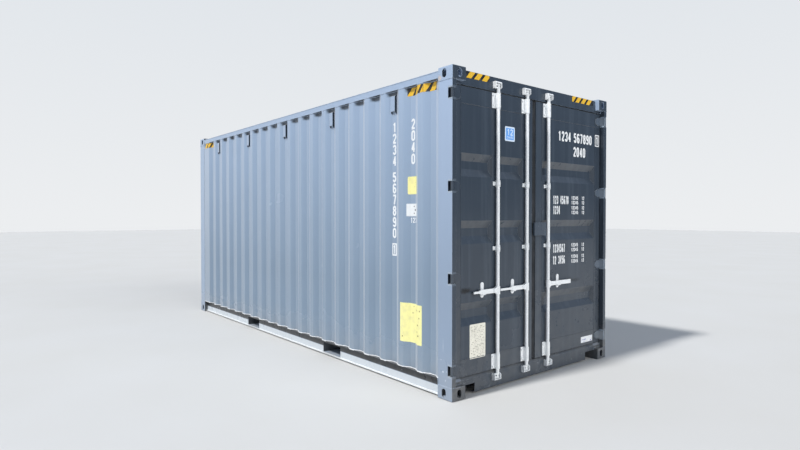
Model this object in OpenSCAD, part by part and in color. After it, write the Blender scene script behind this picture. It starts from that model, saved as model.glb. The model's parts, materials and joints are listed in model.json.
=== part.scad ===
/* [Envelope] */
// Length over the corner castings
length = 6058; // [5600:1:7200]
// Width over the corner castings
width = 2438; // [2400:1:2500]
// Height over the corner castings
height = 2896; // [2800:1:3000]
// Height of the underside of the base above the ground
base_gap = 17; // [12:1:25]
// Set-back of posts and rails behind the faces of the castings, at the ends
end_inset = 4; // [3:1:8]
// Set-back of posts and rails behind the faces of the castings, at the sides
side_inset = 3; // [2:1:6]

/* [Corner castings] */
// Length of a casting, along the container
casting_l = 178; // [170:1:190]
// Width of a casting
casting_w = 162; // [155:1:170]
// Height of a casting
casting_h = 118; // [112:1:130]
// Thickness of the side walls of a casting
casting_wall = 15; // [12:1:18]
// Thickness of the plate round the top or bottom aperture
casting_plate = 28.5; // [24:0.5:32]
// Thickness of the face welded to the post
casting_back = 12; // [8:1:16]
// Radius on the outer edges of a casting
casting_round = 12; // [6:1:16]
// Length of the top and bottom apertures
aperture_l = 124.5; // [110:0.5:130]
// Width of the top and bottom apertures
aperture_w = 63.5; // [55:0.5:68]
// Height of the side and end apertures
side_aperture_h = 79.5; // [60:0.5:84]
// Width of the side and end apertures
side_aperture_w = 51; // [40:1:58]
// Centre of the apertures from the end face
aperture_inset_x = 102.5; // [96:0.5:106]
// Centre of the apertures from the side face
aperture_inset_y = 89.5; // [84:0.5:92]

/* [Posts and rails] */
// Wall of a corner post
post_t = 6; // [4:0.5:8]
// Width of a rear post, seen from the doors
rear_post_w = 46; // [40:1:50]
// Depth of the inner return of a front post
front_post_return = 36; // [20:1:50]
// Outer size of the square top rails
top_rail = 60; // [50:1:70]
// Wall of the top rails
top_rail_t = 3; // [2:0.5:5]
// Height of the roof sheet's underside below the tops of the castings
roof_drop = 31; // [28:1:34]
// Height of a bottom side rail
side_rail_h = 158; // [150:1:170]
// Width of the top flange of a bottom side rail
side_rail_top = 48; // [40:1:56]
// Width of the bottom flange of a bottom side rail
side_rail_foot = 30; // [20:1:36]
// Thickness of the bottom side rail
side_rail_t = 4.5; // [3:0.5:6]

/* [Walls and roof] */
// Thickness of the wall and roof sheets
sheet_t = 2; // [1.5:0.1:3]
// Set-back of a side wall's outer flats behind the castings
wall_inset = 5; // [4:1:10]
// Depth of the side wall corrugation
wave_depth = 36; // [24:1:40]
// Width of the outer flats of a side wall
wave_outer = 72; // [50:1:90]
// Width of the inner flats of a side wall
wave_inner = 70; // [50:1:90]
// Width of the slopes of a side wall
wave_slope = 68; // [30:1:80]
// Depth of the front wall corrugation
front_depth = 44; // [30:1:46]
// Width of the outer flats of the front wall
front_outer = 110; // [80:1:130]
// Width of the inner flats of the front wall
front_inner = 104; // [80:1:130]
// Width of the slopes of the front wall
front_slope = 18; // [12:1:40]
// Height of the stamped roof ribs
roof_rib_h = 20; // [12:1:22]
// Pitch of the roof ribs
roof_pitch = 209; // [180:1:240]
// Width of the foot of a roof rib
roof_rib_w = 143; // [110:1:150]
// Run of the slopes round a roof rib
roof_slope = 34; // [20:1:40]
// Flat margin between the ends of the roof ribs and the corner plates
roof_margin = 27; // [10:1:80]
// Length of a roof corner plate
corner_plate_l = 260; // [200:1:320]
// Thickness of a roof corner plate
corner_plate_t = 4; // [3:0.5:6]

/* [Vents] */
// Number of corrugations from one vent to the next
vent_step = 4; // [3:1:6]
// Corrugation, counted from the door end, that holds the first vent
vent_first = 2; // [1:1:3]
// Gap on each side of a vent hood in its corrugation
vent_margin = 2; // [1:0.5:8]
// Height of a vent hood
vent_h = 180; // [120:1:220]
// Depth of a vent hood
vent_d = 26; // [16:1:30]
// Gap between a vent and the top rail
vent_drop = 34; // [20:1:60]
// Wall of a vent hood
vent_t = 3; // [2:0.5:4]

/* [Base] */
// Height of a crossmember
cross_h = 122; // [110:1:130]
// Width of a crossmember's flanges
cross_flange = 45; // [35:1:50]
// Thickness of a crossmember
cross_t = 4; // [3:0.5:5]
// Crossmembers between the fork pockets
cross_mid = 5; // [3:1:6]
// Crossmembers from each fork pocket to the end
cross_end = 5; // [3:1:6]
// Thickness of the plywood floor
floor_t = 28; // [24:1:32]
// Distance between the centres of the fork pockets
pocket_pitch = 2080; // [1800:1:2100]
// Width of a fork pocket
pocket_w = 360; // [340:1:380]
// Thickness of a pocket's roof plate
pocket_roof_t = 3; // [2:0.5:5]
// Thickness of the plates under the ends of a pocket
pocket_strap_t = 6; // [4:0.5:8]
// Width of the plates under the ends of a pocket
pocket_strap_w = 200; // [150:10:300]

/* [Door end] */
// Height of the header
header_h = 130; // [110:1:140]
// Depth of the header
header_d = 80; // [60:1:90]
// Depth of the foot of the sill
sill_foot = 46; // [30:1:60]
// Height and depth of the sloped edge along the top of the sill
sill_slope = 20; // [4:1:20]
// Wall of the header and the sill
header_t = 4; // [3:0.5:6]
// Height of the header above the top rails
header_rise = 17; // [10:1:20]
// Width of the cut-outs in the sill beside the castings
sill_cut_w = 172; // [120:1:220]
// Height of the cut-outs in the sill
sill_cut_h = 83; // [60:1:90]

/* [Door leaves] */
// Thickness of a leaf's frame
leaf_t = 50; // [44:1:54]
// Wall of the frame's hollow sections
leaf_wall = 3; // [2:0.5:4]
// Gap between a leaf and the posts, the header and the sill
leaf_gap = 6; // [5:0.5:8]
// Extra gap under and over the leaves
leaf_rise = 4; // [2:1:6]
// Width of the stiles
stile_w = 100; // [90:1:110]
// Height of the top and bottom members of a leaf
member_h = 150; // [130:1:160]
// Free edge of the left leaf, measured to the left of the centre line
left_edge = 58; // [50:1:70]
// Free edge of the right leaf, measured to the left of the centre line
right_edge = 2; // [0:1:6]
// Depth of the stamped grooves
groove_d = 36; // [24:1:40]
// Height of a groove's mouth
groove_h = 208; // [180:1:220]
// Run of a groove's upper and lower slopes
groove_slope = 68; // [50:1:80]
// Run of the slopes at the ends of a groove
groove_end = 32; // [20:1:45]
// Height of the lowest groove's centre above the ground
groove_1 = 726; // [640:1:760]
// Height of the middle groove's centre above the ground
groove_2 = 1457; // [1380:1:1500]
// Height of the upper groove's centre above the ground
groove_3 = 2056; // [2000:1:2120]
// Half width of the flat strips that carry the lock bars
strip_half = 42; // [36:1:60]
// Flat margin between a groove and the leaf's hinge stile
groove_margin = 8; // [2:1:20]

/* [Seals] */
// Width of the rubber seal behind a leaf's edge
seal_w = 30; // [20:1:40]
// Thickness of the rubber seal
seal_t = 12; // [6:1:16]
// Gap left between the seal and the posts
seal_gap = 0.5; // [0.3:0.1:1.5]
// Gap between the centre seal and the left leaf
centre_gap = 9; // [8:0.5:12]
// Set-back of the centre seal behind the leaf's face
centre_seal_inset = 8; // [4:1:12]
// Depth of the centre seal
centre_seal_d = 30; // [20:1:36]

/* [Hinges] */
// Set-back of the knuckles behind the castings' side faces
knuckle_side = 1; // [0.5:0.5:4]
// Set-back of the knuckles behind the castings' end faces
knuckle_end = 4; // [2:0.5:8]
// Radius of a hinge pin
pin_r = 8; // [6:0.5:8]
// Running clearance round a hinge pin
pin_clear = 0.1; // [0.05:0.01:0.1]
// Radius of a hinge knuckle
knuckle_r = 13; // [12:0.5:13]
// Height of a hinge blade
blade_h = 86; // [70:1:90]
// Thickness of a hinge blade
blade_t = 10; // [8:1:11]
// Reach of a hinge blade over the leaf from the pin
blade_l = 136; // [110:1:180]
// Length of the tapered end of a hinge blade
blade_taper = 44; // [0:1:60]
// Thickness of the lugs above and below a blade
lug_t = 14; // [10:1:18]
// Gap between a blade and its lugs
lug_gap = 1; // [0.5:0.1:2]
// Depth of the post notches behind the face of the leaves
notch_gap = 2; // [1:0.5:6]
// Distance of the end hinges from the ends of a leaf
hinge_end = 84; // [80:1:110]
// Number of hinges on a leaf
hinge_count = 4; // [3:1:5]

/* [Lock gear] */
// Distance from the castings' end faces to the centre of the lock bars
bar_inset = 28; // [27:0.5:29]
// Radius of a lock bar
bar_r = 17; // [15:0.5:17]
// Gap between the lock bars and the face of the header
bar_gap = 4; // [3:0.5:8]
// Distance of the outer lock bar from the centre line
bar_outer = 600; // [560:1:640]
// Distance of the inner lock bars from the centre line
bar_inner = 172; // [150:1:200]
// Running clearance round a lock bar in its brackets
bar_clear = 0.5; // [0.3:0.1:1]
// Thickness of the brackets round a lock bar
bracket_t = 5; // [4:0.5:6]
// Half width of an end bracket
bracket_half = 58; // [48:1:66]
// Height of an end bracket
bracket_h = 138; // [120:1:146]
// Half width of a guide
guide_half = 42; // [38:1:50]
// Height of a guide
guide_h = 36; // [28:1:44]
// Distance from a groove's lower edge down to the guide below it
guide_drop = 50; // [40:1:70]
// Height of a cam
cam_h = 42; // [34:1:46]
// Distance from the header's or sill's edge to the middle of a cam
cam_reach = 46; // [42:1:58]
// Reach of a cam's nose from the centre of its bar
cam_nose = 34; // [28:1:36]
// Thickness of the two plates of a cam
cam_plate = 14; // [10:1:18]
// Thickness of the keeper jaws
jaw_t = 11; // [8:1:14]
// Clearance between a cam and the header or the sill behind it
cam_clear = 6; // [5:0.5:7]
// Clearance between a cam and its keeper
jaw_clear = 6; // [5:0.5:8]
// Thickness of the bridge that joins the jaws of a keeper
bridge_t = 14; // [10:1:18]
// Depth of a keeper in front of the header
keeper_d = 42; // [36:1:44]

/* [Handles] */
// Height of the handle hubs above the ground
hub_z = 914; // [900:1:960]
// Distance from a bar's centre to the handle pivot
hub_reach = 52; // [48:1:60]
// Radius of a hub collar
collar_r = 23; // [20:0.5:24]
// Height of a hub collar
collar_h = 74; // [50:1:80]
// Gap between the hub collars and the leaves
collar_gap = 4; // [3:0.5:8]
// Radius of the round ends of the hub cheeks
cheek_r = 18; // [14:1:22]
// Thickness of the hub cheeks
cheek_t = 6; // [5:0.5:8]
// Radius of the handle pivot pin
pivot_r = 6; // [5:0.5:8]
// Thickness of a handle
handle_t = 12; // [10:1:14]
// Height of a handle
handle_h = 42; // [34:1:46]
// Height of the tip of a left handle
tip_h = 20; // [16:1:30]
// Reach of the outer left handle from its bar
handle_1_l = 322; // [300:1:400]
// Gap between the inner left handle and the hub of the outer bar
handle_2_gap = 15; // [10:1:60]
// Reach of the right handle from its bar
handle_3_l = 390; // [300:1:480]
// Distance from a bar to its handle catch
catch_reach = 190; // [170:1:220]
// Height of a handle catch
catch_h = 140; // [110:1:150]
// Width of a handle catch
catch_w = 42; // [30:1:44]
// Thickness of a handle catch
catch_t = 7; // [5:0.5:9]
// Height of a catch's centre above the handle's centre
catch_rise = 16; // [8:1:22]
// Gap between a handle and the ledge it rests on
rest_gap = 0.3; // [0.2:0.1:1]

/* [Overlap plate] */
// Height of the overlap plate's lower edge above the ground
overlap_z = 1408; // [1370:1:1440]
// Height of the overlap plate
overlap_h = 130; // [110:1:150]
// Gap between the overlap plate and the left leaf
overlap_gap = 12; // [10:1:20]
// Gap between the overlap plate and the lock bar of the right leaf
overlap_bar_gap = 9; // [6:1:30]
// Depth of the overlap plate in front of the leaf
overlap_d = 26; // [20:1:32]
// Thickness of the overlap plate
overlap_t = 4; // [3:0.5:5]

/* [Hidden] */
$fn = 48;
cut = 1; // how far a cutter runs past a face
half_l = length / 2;
half_w = width / 2;

paint = "#4c5661";
steel = "#d3d8db";
rubber = "#202224";
plywood = "#9a7448";

// Lock bars and the planes set back from them
bar_x = half_l - bar_inset;
header_face = bar_x - bar_r - bar_gap;
leaf_face = bar_x - collar_r - collar_gap;
leaf_back = leaf_face - leaf_t;

// Planes and levels shared by the pieces
post_face = half_l - end_inset;
side_face = half_w - side_inset;
casting_in_x = half_l - casting_l;
casting_in_y = half_w - casting_w;
door_half = side_face - rear_post_w;
roof_z = height - roof_drop;
rail_z = roof_z - top_rail;
cross_top = base_gap + cross_h;
floor_z = cross_top + floor_t;
side_rail_z = base_gap + side_rail_h;
header_top = roof_z + header_rise;
header_z = header_top - header_h;
header_back = header_face - header_d;
wall_y = half_w - wall_inset;
web_in = side_face - side_rail_top;
web_y = web_in + side_rail_t;
front_wall_x = post_face - post_t + sheet_t;

// Door leaves
leaf_z = floor_z + leaf_gap + leaf_rise;
leaf_top = header_z - leaf_gap - leaf_rise + cut;
leaf_out = door_half - leaf_gap;
panel_z = leaf_z + member_h;
panel_top = leaf_top - member_h;
grooves = [groove_1, groove_2, groove_3];
guides = [for (i = [1, 2]) grooves[i] - groove_h / 2 - guide_drop];

// Hinges
pin_x = half_l - knuckle_r - knuckle_end;
pin_y = half_w - knuckle_r - knuckle_side;
notch_x = leaf_face - notch_gap;
notch_half = blade_h / 2 + lug_gap + lug_t;
hinge_step = (leaf_top - leaf_z - 2 * hinge_end) / (hinge_count - 1);
hinges = [for (i = [0 : hinge_count - 1]) leaf_z + hinge_end + i * hinge_step];

// Lock gear: for each bar its place, its handle's side, its handle's reach and its handle's tip
bar_y = [-bar_outer, -bar_inner, bar_inner];
bar_side = [-1, -1, 1];
handle_l = [handle_1_l, bar_outer - bar_inner - collar_r - handle_2_gap, handle_3_l];
handle_tip = [tip_h, tip_h, handle_h];
cam_z = [floor_z - cam_reach, header_z + cam_reach];

// Flips the children about a plane through the origin when asked to
module flip(v, on) {
    if (on) mirror(v) children();
    else children();
}

// Places the children on the left and on the right side
module both_sides() {
    for (right = [false, true]) flip([0, 1, 0], right) children();
}

// Rectangle with one corner at the origin rounded
module corner_round(a, b) {
    translate([casting_round, 0]) square([a - casting_round, b]);
    translate([0, casting_round]) square([a, b - casting_round]);
    translate([casting_round, casting_round]) circle(r = casting_round);
}

// Slot with round ends, centred, along X
module slot(l, w) {
    square([l - w, w], center = true);
    for (s = [-1, 1]) translate([s * (l - w) / 2, 0]) circle(d = w);
}

// Extrusion along Y of an outline drawn in X and Z, from y0 to y1
module along_y(y0, y1) {
    translate([0, y1, 0]) rotate([90, 0, 0]) linear_extrude(y1 - y0) children();
}

// Extrusion along X of an outline drawn in Y and Z, from x0 to x1
module along_x(x0, x1) {
    translate([x0, 0, 0]) rotate([90, 0, 90]) linear_extrude(x1 - x0) children();
}

// Extrusion along Z of an outline drawn in X and Y, from z0 to z1
module along_z(z0, z1) {
    translate([0, 0, z0]) linear_extrude(z1 - z0) children();
}

// Rectangle between two corners
module area(a, b) {
    translate(a) square([b[0] - a[0], b[1] - a[1]]);
}

// Block between two corners
module block(a, b) {
    translate(a) cube([b[0] - a[0], b[1] - a[1], b[2] - a[2]]);
}

// One corner casting, with its outer corner at the origin
module casting() {
    difference() {
        intersection() {
            along_z(0, casting_h) corner_round(casting_l, casting_w);
            along_y(0, casting_w) corner_round(casting_l, casting_h);
            along_x(0, casting_l) corner_round(casting_w, casting_h);
        }
        block([casting_wall, casting_wall, casting_plate],
            [casting_l - casting_wall, casting_w - casting_wall, casting_h - casting_back]);
        translate([aperture_inset_x, aperture_inset_y, 0])
            along_z(-cut, casting_plate + cut) slot(aperture_l, aperture_w);
        translate([aperture_inset_x, 0, casting_h / 2])
            along_y(-cut, casting_wall + cut) rotate(90) slot(side_aperture_h, side_aperture_w);
        translate([0, aperture_inset_y, casting_h / 2])
            along_x(-cut, casting_wall + cut) rotate(90) slot(side_aperture_h, side_aperture_w);
    }
}

module castings(top) {
    color(paint) both_sides() for (rear = [false, true]) flip([1, 0, 0], rear)
        translate([-half_l, -half_w, top ? height : 0]) flip([0, 0, 1], top) casting();
}
module bottom_corner_castings() { castings(false); }
module top_corner_castings() { castings(true); }

// Pressed hollow rear post of the left side, with a notch for each hinge
module rear_post() {
    difference() {
        block([casting_in_x, -side_face, casting_h], [post_face, -door_half, height - casting_h]);
        block([casting_in_x + post_t, -side_face + post_t, casting_h - cut],
            [post_face - post_t, -door_half - post_t, height - casting_h + cut]);
        for (z = hinges) block([notch_x, -half_w, z - notch_half],
            [half_l, -door_half + cut, z + notch_half]);
    }
    for (z = hinges) block([notch_x - post_t, -side_face, z - notch_half],
        [notch_x, -door_half, z + notch_half]);
}
module left_rear_post() { color(paint) rear_post(); }
module right_rear_post() { color(paint) mirror([0, 1, 0]) rear_post(); }

// Open pressed front posts
module front_posts() {
    x0 = -post_face;
    y1 = -casting_in_y;
    color(paint) both_sides() along_z(casting_h, height - casting_h) {
        area([x0, -side_face], [-casting_in_x, -side_face + post_t]);
        area([x0, -side_face], [x0 + post_t, y1]);
        area([-casting_in_x - post_t, -side_face], [-casting_in_x, -side_face + front_post_return]);
        area([x0, y1 - post_t], [x0 + post_t + front_depth, y1]);
    }
}

module square_tube(size, t) {
    difference() {
        square(size);
        translate([t, t]) square([size[0] - 2 * t, size[1] - 2 * t]);
    }
}

module top_side_rails() {
    color(paint) both_sides() along_x(-casting_in_x, casting_in_x)
        translate([-side_face, rail_z]) square_tube([top_rail, top_rail], top_rail_t);
}

module front_top_rail() {
    color(paint) along_y(-casting_in_y, casting_in_y)
        translate([-post_face, rail_z]) square_tube([top_rail, top_rail], top_rail_t);
}

// Cold-pressed bottom side rails with outward flanges, cut through for the fork pockets
module bottom_side_rails() {
    color(paint) both_sides() difference() {
        along_x(-casting_in_x, casting_in_x) {
            area([-web_y, base_gap], [-web_in, side_rail_z]);
            area([-side_face, side_rail_z - side_rail_t], [-web_in, side_rail_z]);
            area([-web_in - side_rail_foot, base_gap], [-web_in, base_gap + side_rail_t]);
        }
        for (s = [-1, 1]) translate([s * pocket_pitch / 2, 0, 0])
            block([-pocket_w / 2, -web_y - cut, base_gap + pocket_strap_t],
                [pocket_w / 2, -web_in + cut, cross_top - pocket_roof_t]);
    }
}

// Front bottom rail, a channel open to the inside
module front_bottom_rail() {
    y = casting_in_y;
    color(paint) along_y(-y, y) {
        area([-post_face, base_gap], [-post_face + header_t, floor_z]);
        area([-post_face, base_gap], [-post_face + top_rail, base_gap + header_t]);
        area([-post_face, cross_top - header_t], [-post_face + top_rail, cross_top]);
    }
}

// Hollow header over the doors, between the castings
module door_header() {
    color(paint) along_y(-casting_in_y, casting_in_y)
        translate([header_back, header_z]) square_tube([header_d, header_h], header_t);
}

// Sheet of the sill from z0 up: its face, its sloped edge and its top
function sill_sheet(z0) = let (x = header_face, z = floor_z, s = sill_slope, t = header_t, m = t * tan(22.5))
    [[x, z0], [x, z - s], [x - s, z], [header_back, z], [header_back, z - t],
        [x - s - m, z - t], [x - t, z - s - m], [x - t, z0]];

// Sill under the doors: a channel open to the inside, cut out beside the castings
module door_sill() {
    color(paint) difference() {
        along_y(-casting_in_y, casting_in_y) {
            polygon(sill_sheet(base_gap));
            area([header_face - sill_foot, base_gap], [header_face, base_gap + header_t]);
        }
        both_sides() block([header_back, -casting_in_y - cut, base_gap - cut],
            [half_l, -casting_in_y + sill_cut_w, base_gap + sill_cut_h]);
    }
}

// Pieces that carry the header and the sill over and under the castings to the rear posts
module corner_gussets() {
    color(paint) both_sides() along_y(-door_half, -casting_in_y) {
        area([header_back, header_z], [header_face, header_z + header_t]);
        area([header_face - header_t, header_z], [header_face, height - casting_h]);
        area([header_back, header_z], [header_back + header_t, height - casting_h]);
        polygon(sill_sheet(casting_h));
    }
}

// Zigzag of a corrugated sheet from 0 to span: flats and slopes in turn, starting at an inner one
function wave_count(span, outer, inner, slope) =
    floor((span + outer) / (outer + inner + 2 * slope));
function wave_path(n, outer, inner, slope, depth) = [
    for (k = [0 : n - 1]) let (u = k * (outer + inner + 2 * slope))
        each [[u, 0], [u + slope, depth], [u + slope + inner, depth], [u + 2 * slope + inner, 0]]];
function sheet_outline(path, t) = concat(path, [
    for (i = [len(path) - 1 : -1 : 0]) path[i] + [0, t]]);

side_pitch = wave_outer + wave_inner + 2 * wave_slope;
side_span = 2 * casting_in_x;
side_waves = wave_count(side_span, wave_outer, wave_inner, wave_slope);

// Left side wall: corrugated sheet from the rear post, with its flat rest at the front post
module side_wall() {
    path = concat(wave_path(side_waves, wave_outer, wave_inner, wave_slope, wave_depth),
        [[side_span, 0]]);
    color(paint) translate([casting_in_x, -wall_y, 0]) mirror([1, 0, 0])
        along_z(side_rail_z, rail_z) polygon(sheet_outline(path, sheet_t));
}
module left_side_wall() { side_wall(); }
module right_side_wall() { mirror([0, 1, 0]) side_wall(); }

// Front wall with deeper, steeper corrugations, centred between the front posts
module front_wall() {
    span = 2 * casting_in_y;
    n = wave_count(span - front_outer, front_outer, front_inner, front_slope);
    pitch = front_outer + front_inner + 2 * front_slope;
    used = n * pitch - front_outer;
    waves = wave_path(n, front_outer, front_inner, front_slope, front_depth);
    path = concat([[-(span - used) / 2, 0]], waves, [[(span + used) / 2, 0]]);
    color(paint) translate([-front_wall_x, used / 2, 0]) rotate(-90)
        along_z(floor_z, rail_z) polygon(sheet_outline(path, sheet_t));
}

rib_count = floor((2 * casting_in_x - roof_rib_w) / roof_pitch) + 1;
rib_start = -(rib_count - 1) * roof_pitch / 2;
roof_rib_l = 2 * (casting_in_y - roof_margin);

// Body under the upper surface of the roof ribs, lowered by d
module roof_ribs(d) {
    h = roof_rib_h;
    intersection() {
        along_y(-width, width) for (i = [0 : rib_count - 1])
            translate([rib_start + i * roof_pitch, roof_z + sheet_t - d])
                polygon([[-roof_rib_w / 2, -cut], [-roof_rib_w / 2, 0], [-roof_rib_w / 2 + roof_slope, h],
                    [roof_rib_w / 2 - roof_slope, h], [roof_rib_w / 2, 0], [roof_rib_w / 2, -cut]]);
        along_x(-length, length) translate([0, roof_z + sheet_t - d])
            polygon([[-roof_rib_l / 2, -cut], [-roof_rib_l / 2, 0], [-roof_rib_l / 2 + roof_slope, h],
                [roof_rib_l / 2 - roof_slope, h], [roof_rib_l / 2, 0], [roof_rib_l / 2, -cut]]);
    }
}

// Die-stamped roof sheet
module roof_panel() {
    color(paint) difference() {
        union() {
            block([-casting_in_x, -side_face, roof_z], [casting_in_x, side_face, roof_z + sheet_t]);
            roof_ribs(0);
        }
        roof_ribs(sheet_t);
    }
}

// Plates beside the castings and between them at both ends of the roof
module roof_end_plates() {
    z = roof_z + sheet_t;
    color(paint) {
        both_sides() for (rear = [false, true]) flip([1, 0, 0], rear)
            block([-casting_in_x, -side_face, z],
                [-casting_in_x + corner_plate_l, -casting_in_y, z + corner_plate_t]);
        block([-post_face, -casting_in_y, roof_z],
            [-casting_in_x, casting_in_y, roof_z + corner_plate_t]);
        block([casting_in_x, -casting_in_y, roof_z],
            [header_back, casting_in_y, roof_z + corner_plate_t]);
    }
}

vent_w = wave_inner - 2 * vent_margin;
vent_count = floor((side_waves - 1 - vent_first) / vent_step) + 1;

// Vent hoods in the inner flats under the top rails, open at the foot
module wall_vents() {
    y = -wall_y + wave_depth;
    top = rail_z - vent_drop;
    color(paint) both_sides() for (i = [0 : vent_count - 1])
        translate([casting_in_x - wave_slope - wave_inner / 2
            - (vent_first + i * vent_step) * side_pitch, 0, 0])
            difference() {
                along_x(-vent_w / 2, vent_w / 2) polygon([[y, top], [y - vent_d, top - vent_d / 2],
                    [y - vent_d, top - vent_h + vent_d], [y - vent_d / 2, top - vent_h],
                    [y, top - vent_h]]);
                block([-vent_w / 2 + vent_t, y - vent_d + vent_t, top - vent_h - cut],
                    [vent_w / 2 - vent_t, y - vent_t, top - vent_d]);
            }
}

// Channel across the container, its web at x = 0 and its flanges towards +X
module crossmember() {
    along_y(-web_in, web_in) {
        area([0, base_gap], [cross_t, cross_top]);
        area([0, base_gap], [cross_flange, base_gap + cross_t]);
        area([0, cross_top - cross_t], [cross_flange, cross_top]);
    }
}

pocket_out = (pocket_pitch + pocket_w) / 2;
pocket_in = (pocket_pitch - pocket_w) / 2;

module crossmembers() {
    end_x = casting_in_x - cross_flange;
    color(paint) {
        for (i = [1 : cross_mid])
            translate([-pocket_in + 2 * pocket_in * i / (cross_mid + 1), 0, 0]) crossmember();
        for (rear = [false, true]) flip([1, 0, 0], rear) {
            translate([pocket_out, 0, 0]) crossmember();
            translate([pocket_in, 0, 0]) mirror([1, 0, 0]) crossmember();
            for (i = [1 : cross_end])
                translate([pocket_out + (end_x - pocket_out) * i / cross_end, 0, 0]) crossmember();
        }
    }
}

module fork_pocket_plates() {
    color(paint) for (s = [-1, 1]) translate([s * pocket_pitch / 2, 0, 0]) {
        block([-pocket_w / 2, -web_in, cross_top - pocket_roof_t], [pocket_w / 2, web_in, cross_top]);
        both_sides() block([-pocket_w / 2, -web_in, base_gap],
            [pocket_w / 2, -web_in + pocket_strap_w, base_gap + pocket_strap_t]);
    }
}

module floor_panel() {
    color(plywood) block([-front_wall_x + front_depth + sheet_t, -web_in, cross_top],
        [header_back, web_in, floor_z]);
}

// Lugs with their pins, welded into the notches of the rear posts
module hinge_lugs() {
    color(paint) both_sides() for (z = hinges) translate([0, 0, z]) {
        for (top = [false, true]) flip([0, 0, 1], top) along_z(blade_h / 2 + lug_gap, notch_half) {
            area([notch_x, -side_face], [pin_x, -door_half]);
            area([pin_x - cut, -pin_y], [post_face, -door_half]);
            translate([pin_x, -pin_y]) circle(r = knuckle_r);
        }
        translate([pin_x, -pin_y, -notch_half]) cylinder(r = pin_r, h = 2 * notch_half);
    }
}

// Blade of a left hinge: knuckle round the pin, cranked web and strap on the leaf's face
module hinge_blade() {
    a = leaf_face - pin_x;
    b = pin_y - leaf_out;
    h = blade_h / 2;
    difference() {
        intersection() {
            along_z(-h, h) translate([pin_x, -pin_y]) {
                circle(r = knuckle_r);
                polygon([[a, blade_l], [a, b + blade_t / 2], [-knuckle_r, -blade_t / 2],
                    [knuckle_r / 2, knuckle_r / 2 + cut], [a + blade_t, b + 1.6 * blade_t],
                    [a + blade_t, blade_l - blade_t], [a + blade_t / 2, blade_l]]);
            }
            along_x(notch_x, half_l) translate([-pin_y, 0])
                polygon([[-knuckle_r, -h], [blade_l - blade_taper, -h], [blade_l, -h + blade_taper / 2],
                    [blade_l, h - blade_taper / 2], [blade_l - blade_taper, h], [-knuckle_r, h]]);
        }
        translate([pin_x, -pin_y, -blade_h]) cylinder(r = pin_r + pin_clear, h = 2 * blade_h);
    }
}
module left_hinge_blades() { color(paint) for (z = hinges) translate([0, 0, z]) hinge_blade(); }
module right_hinge_blades() { mirror([0, 1, 0]) left_hinge_blades(); }

// Stiles of a leaf between two edges in Y
module stiles(y0, y1) {
    color(paint) for (y = [y0, y1 - stile_w])
        along_z(leaf_z, leaf_top) translate([leaf_back, y]) square_tube([leaf_t, stile_w], leaf_wall);
}
module members(y0, y1) {
    color(paint) for (z = [leaf_z, panel_top])
        along_y(y0 + stile_w, y1 - stile_w) translate([leaf_back, z])
            square_tube([leaf_t, member_h], leaf_wall);
}

// Groove cutter: a frustum with its mouth on the leaf's face, pushed in by d
module groove(y0, y1, z, d) {
    x0 = leaf_face - groove_d - d;
    x1 = leaf_face - d;
    intersection() {
        along_y(y0 - cut, y1 + cut) polygon([[x1 + leaf_t, z - groove_h / 2], [x1, z - groove_h / 2],
            [x0, z - groove_h / 2 + groove_slope], [x0, z + groove_h / 2 - groove_slope],
            [x1, z + groove_h / 2], [x1 + leaf_t, z + groove_h / 2]]);
        along_z(z - groove_h, z + groove_h) polygon([[x1 + leaf_t, y0], [x1, y0],
            [x0, y0 + groove_end], [x0, y1 - groove_end], [x1, y1], [x1 + leaf_t, y1]]);
    }
}

// Die-formed leaf panel between the stiles: the sheet between its outer and inner surfaces
module leaf_panel(y0, y1, spans) {
    back = leaf_face - groove_d - sheet_t;
    color(paint) difference() {
        block([back, y0, panel_z], [leaf_face, y1, panel_top]);
        for (z = grooves) for (s = spans) groove(s[0], s[1], z, 0);
        difference() {
            block([back - cut, y0 - cut, panel_z - cut], [leaf_face - sheet_t, y1 + cut, panel_top + cut]);
            for (z = grooves) for (s = spans) groove(s[0], s[1], z, sheet_t);
        }
    }
}

// Seal round the back of a leaf between two edges in Y
module seal(y0, y1) {
    reach = leaf_gap - seal_gap;
    z0 = leaf_z - reach;
    z1 = leaf_top + reach;
    along_x(leaf_back - seal_t, leaf_back) difference() {
        area([y0, z0], [y1, z1]);
        area([y0 + seal_w + reach, z0 + seal_w + reach], [y1 - seal_w - reach, z1 - seal_w - reach]);
    }
}

left_span = [-leaf_out, -left_edge];
right_span = [-right_edge, leaf_out];
seal_reach = leaf_gap - seal_gap;

module left_door_stiles() { stiles(left_span[0], left_span[1]); }
module left_door_members() { members(left_span[0], left_span[1]); }
module left_door_panel() {
    y0 = left_span[0] + stile_w;
    y1 = left_span[1] - stile_w;
    leaf_panel(y0, y1, [[y0 + groove_margin, -bar_outer - strip_half],
        [-bar_outer + strip_half, -bar_inner - strip_half + groove_margin]]);
}
module left_door_seal() { color(rubber) seal(left_span[0] - seal_reach, left_span[1]); }

module right_door_stiles() { stiles(right_span[0], right_span[1]); }
module right_door_members() { members(right_span[0], right_span[1]); }
module right_door_panel() {
    y0 = right_span[0] + stile_w;
    y1 = right_span[1] - stile_w;
    leaf_panel(y0, y1, [[y0 + groove_margin / 2, y1 - groove_margin]]);
}
// The right seal also fills the gap between the leaves
module right_door_seal() {
    x1 = leaf_face - centre_seal_inset;
    color(rubber) {
        seal(right_span[0], right_span[1] + seal_reach);
        block([x1 - centre_seal_d, -left_edge + centre_gap, leaf_z], [x1, -right_edge, leaf_top]);
    }
}

// Bearing round a lock bar: feet on the leaf and a bow over the bar
module bearing(half, h, z) {
    r = bar_r + bar_clear;
    along_z(z - h / 2, z + h / 2) difference() {
        union() {
            translate([leaf_face, -half]) square([bracket_t, 2 * half]);
            translate([leaf_face, -r - bracket_t]) square([bar_x - leaf_face, 2 * (r + bracket_t)]);
            translate([bar_x, 0]) circle(r = r + bracket_t);
        }
        translate([bar_x, 0]) circle(r = r);
    }
}

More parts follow.
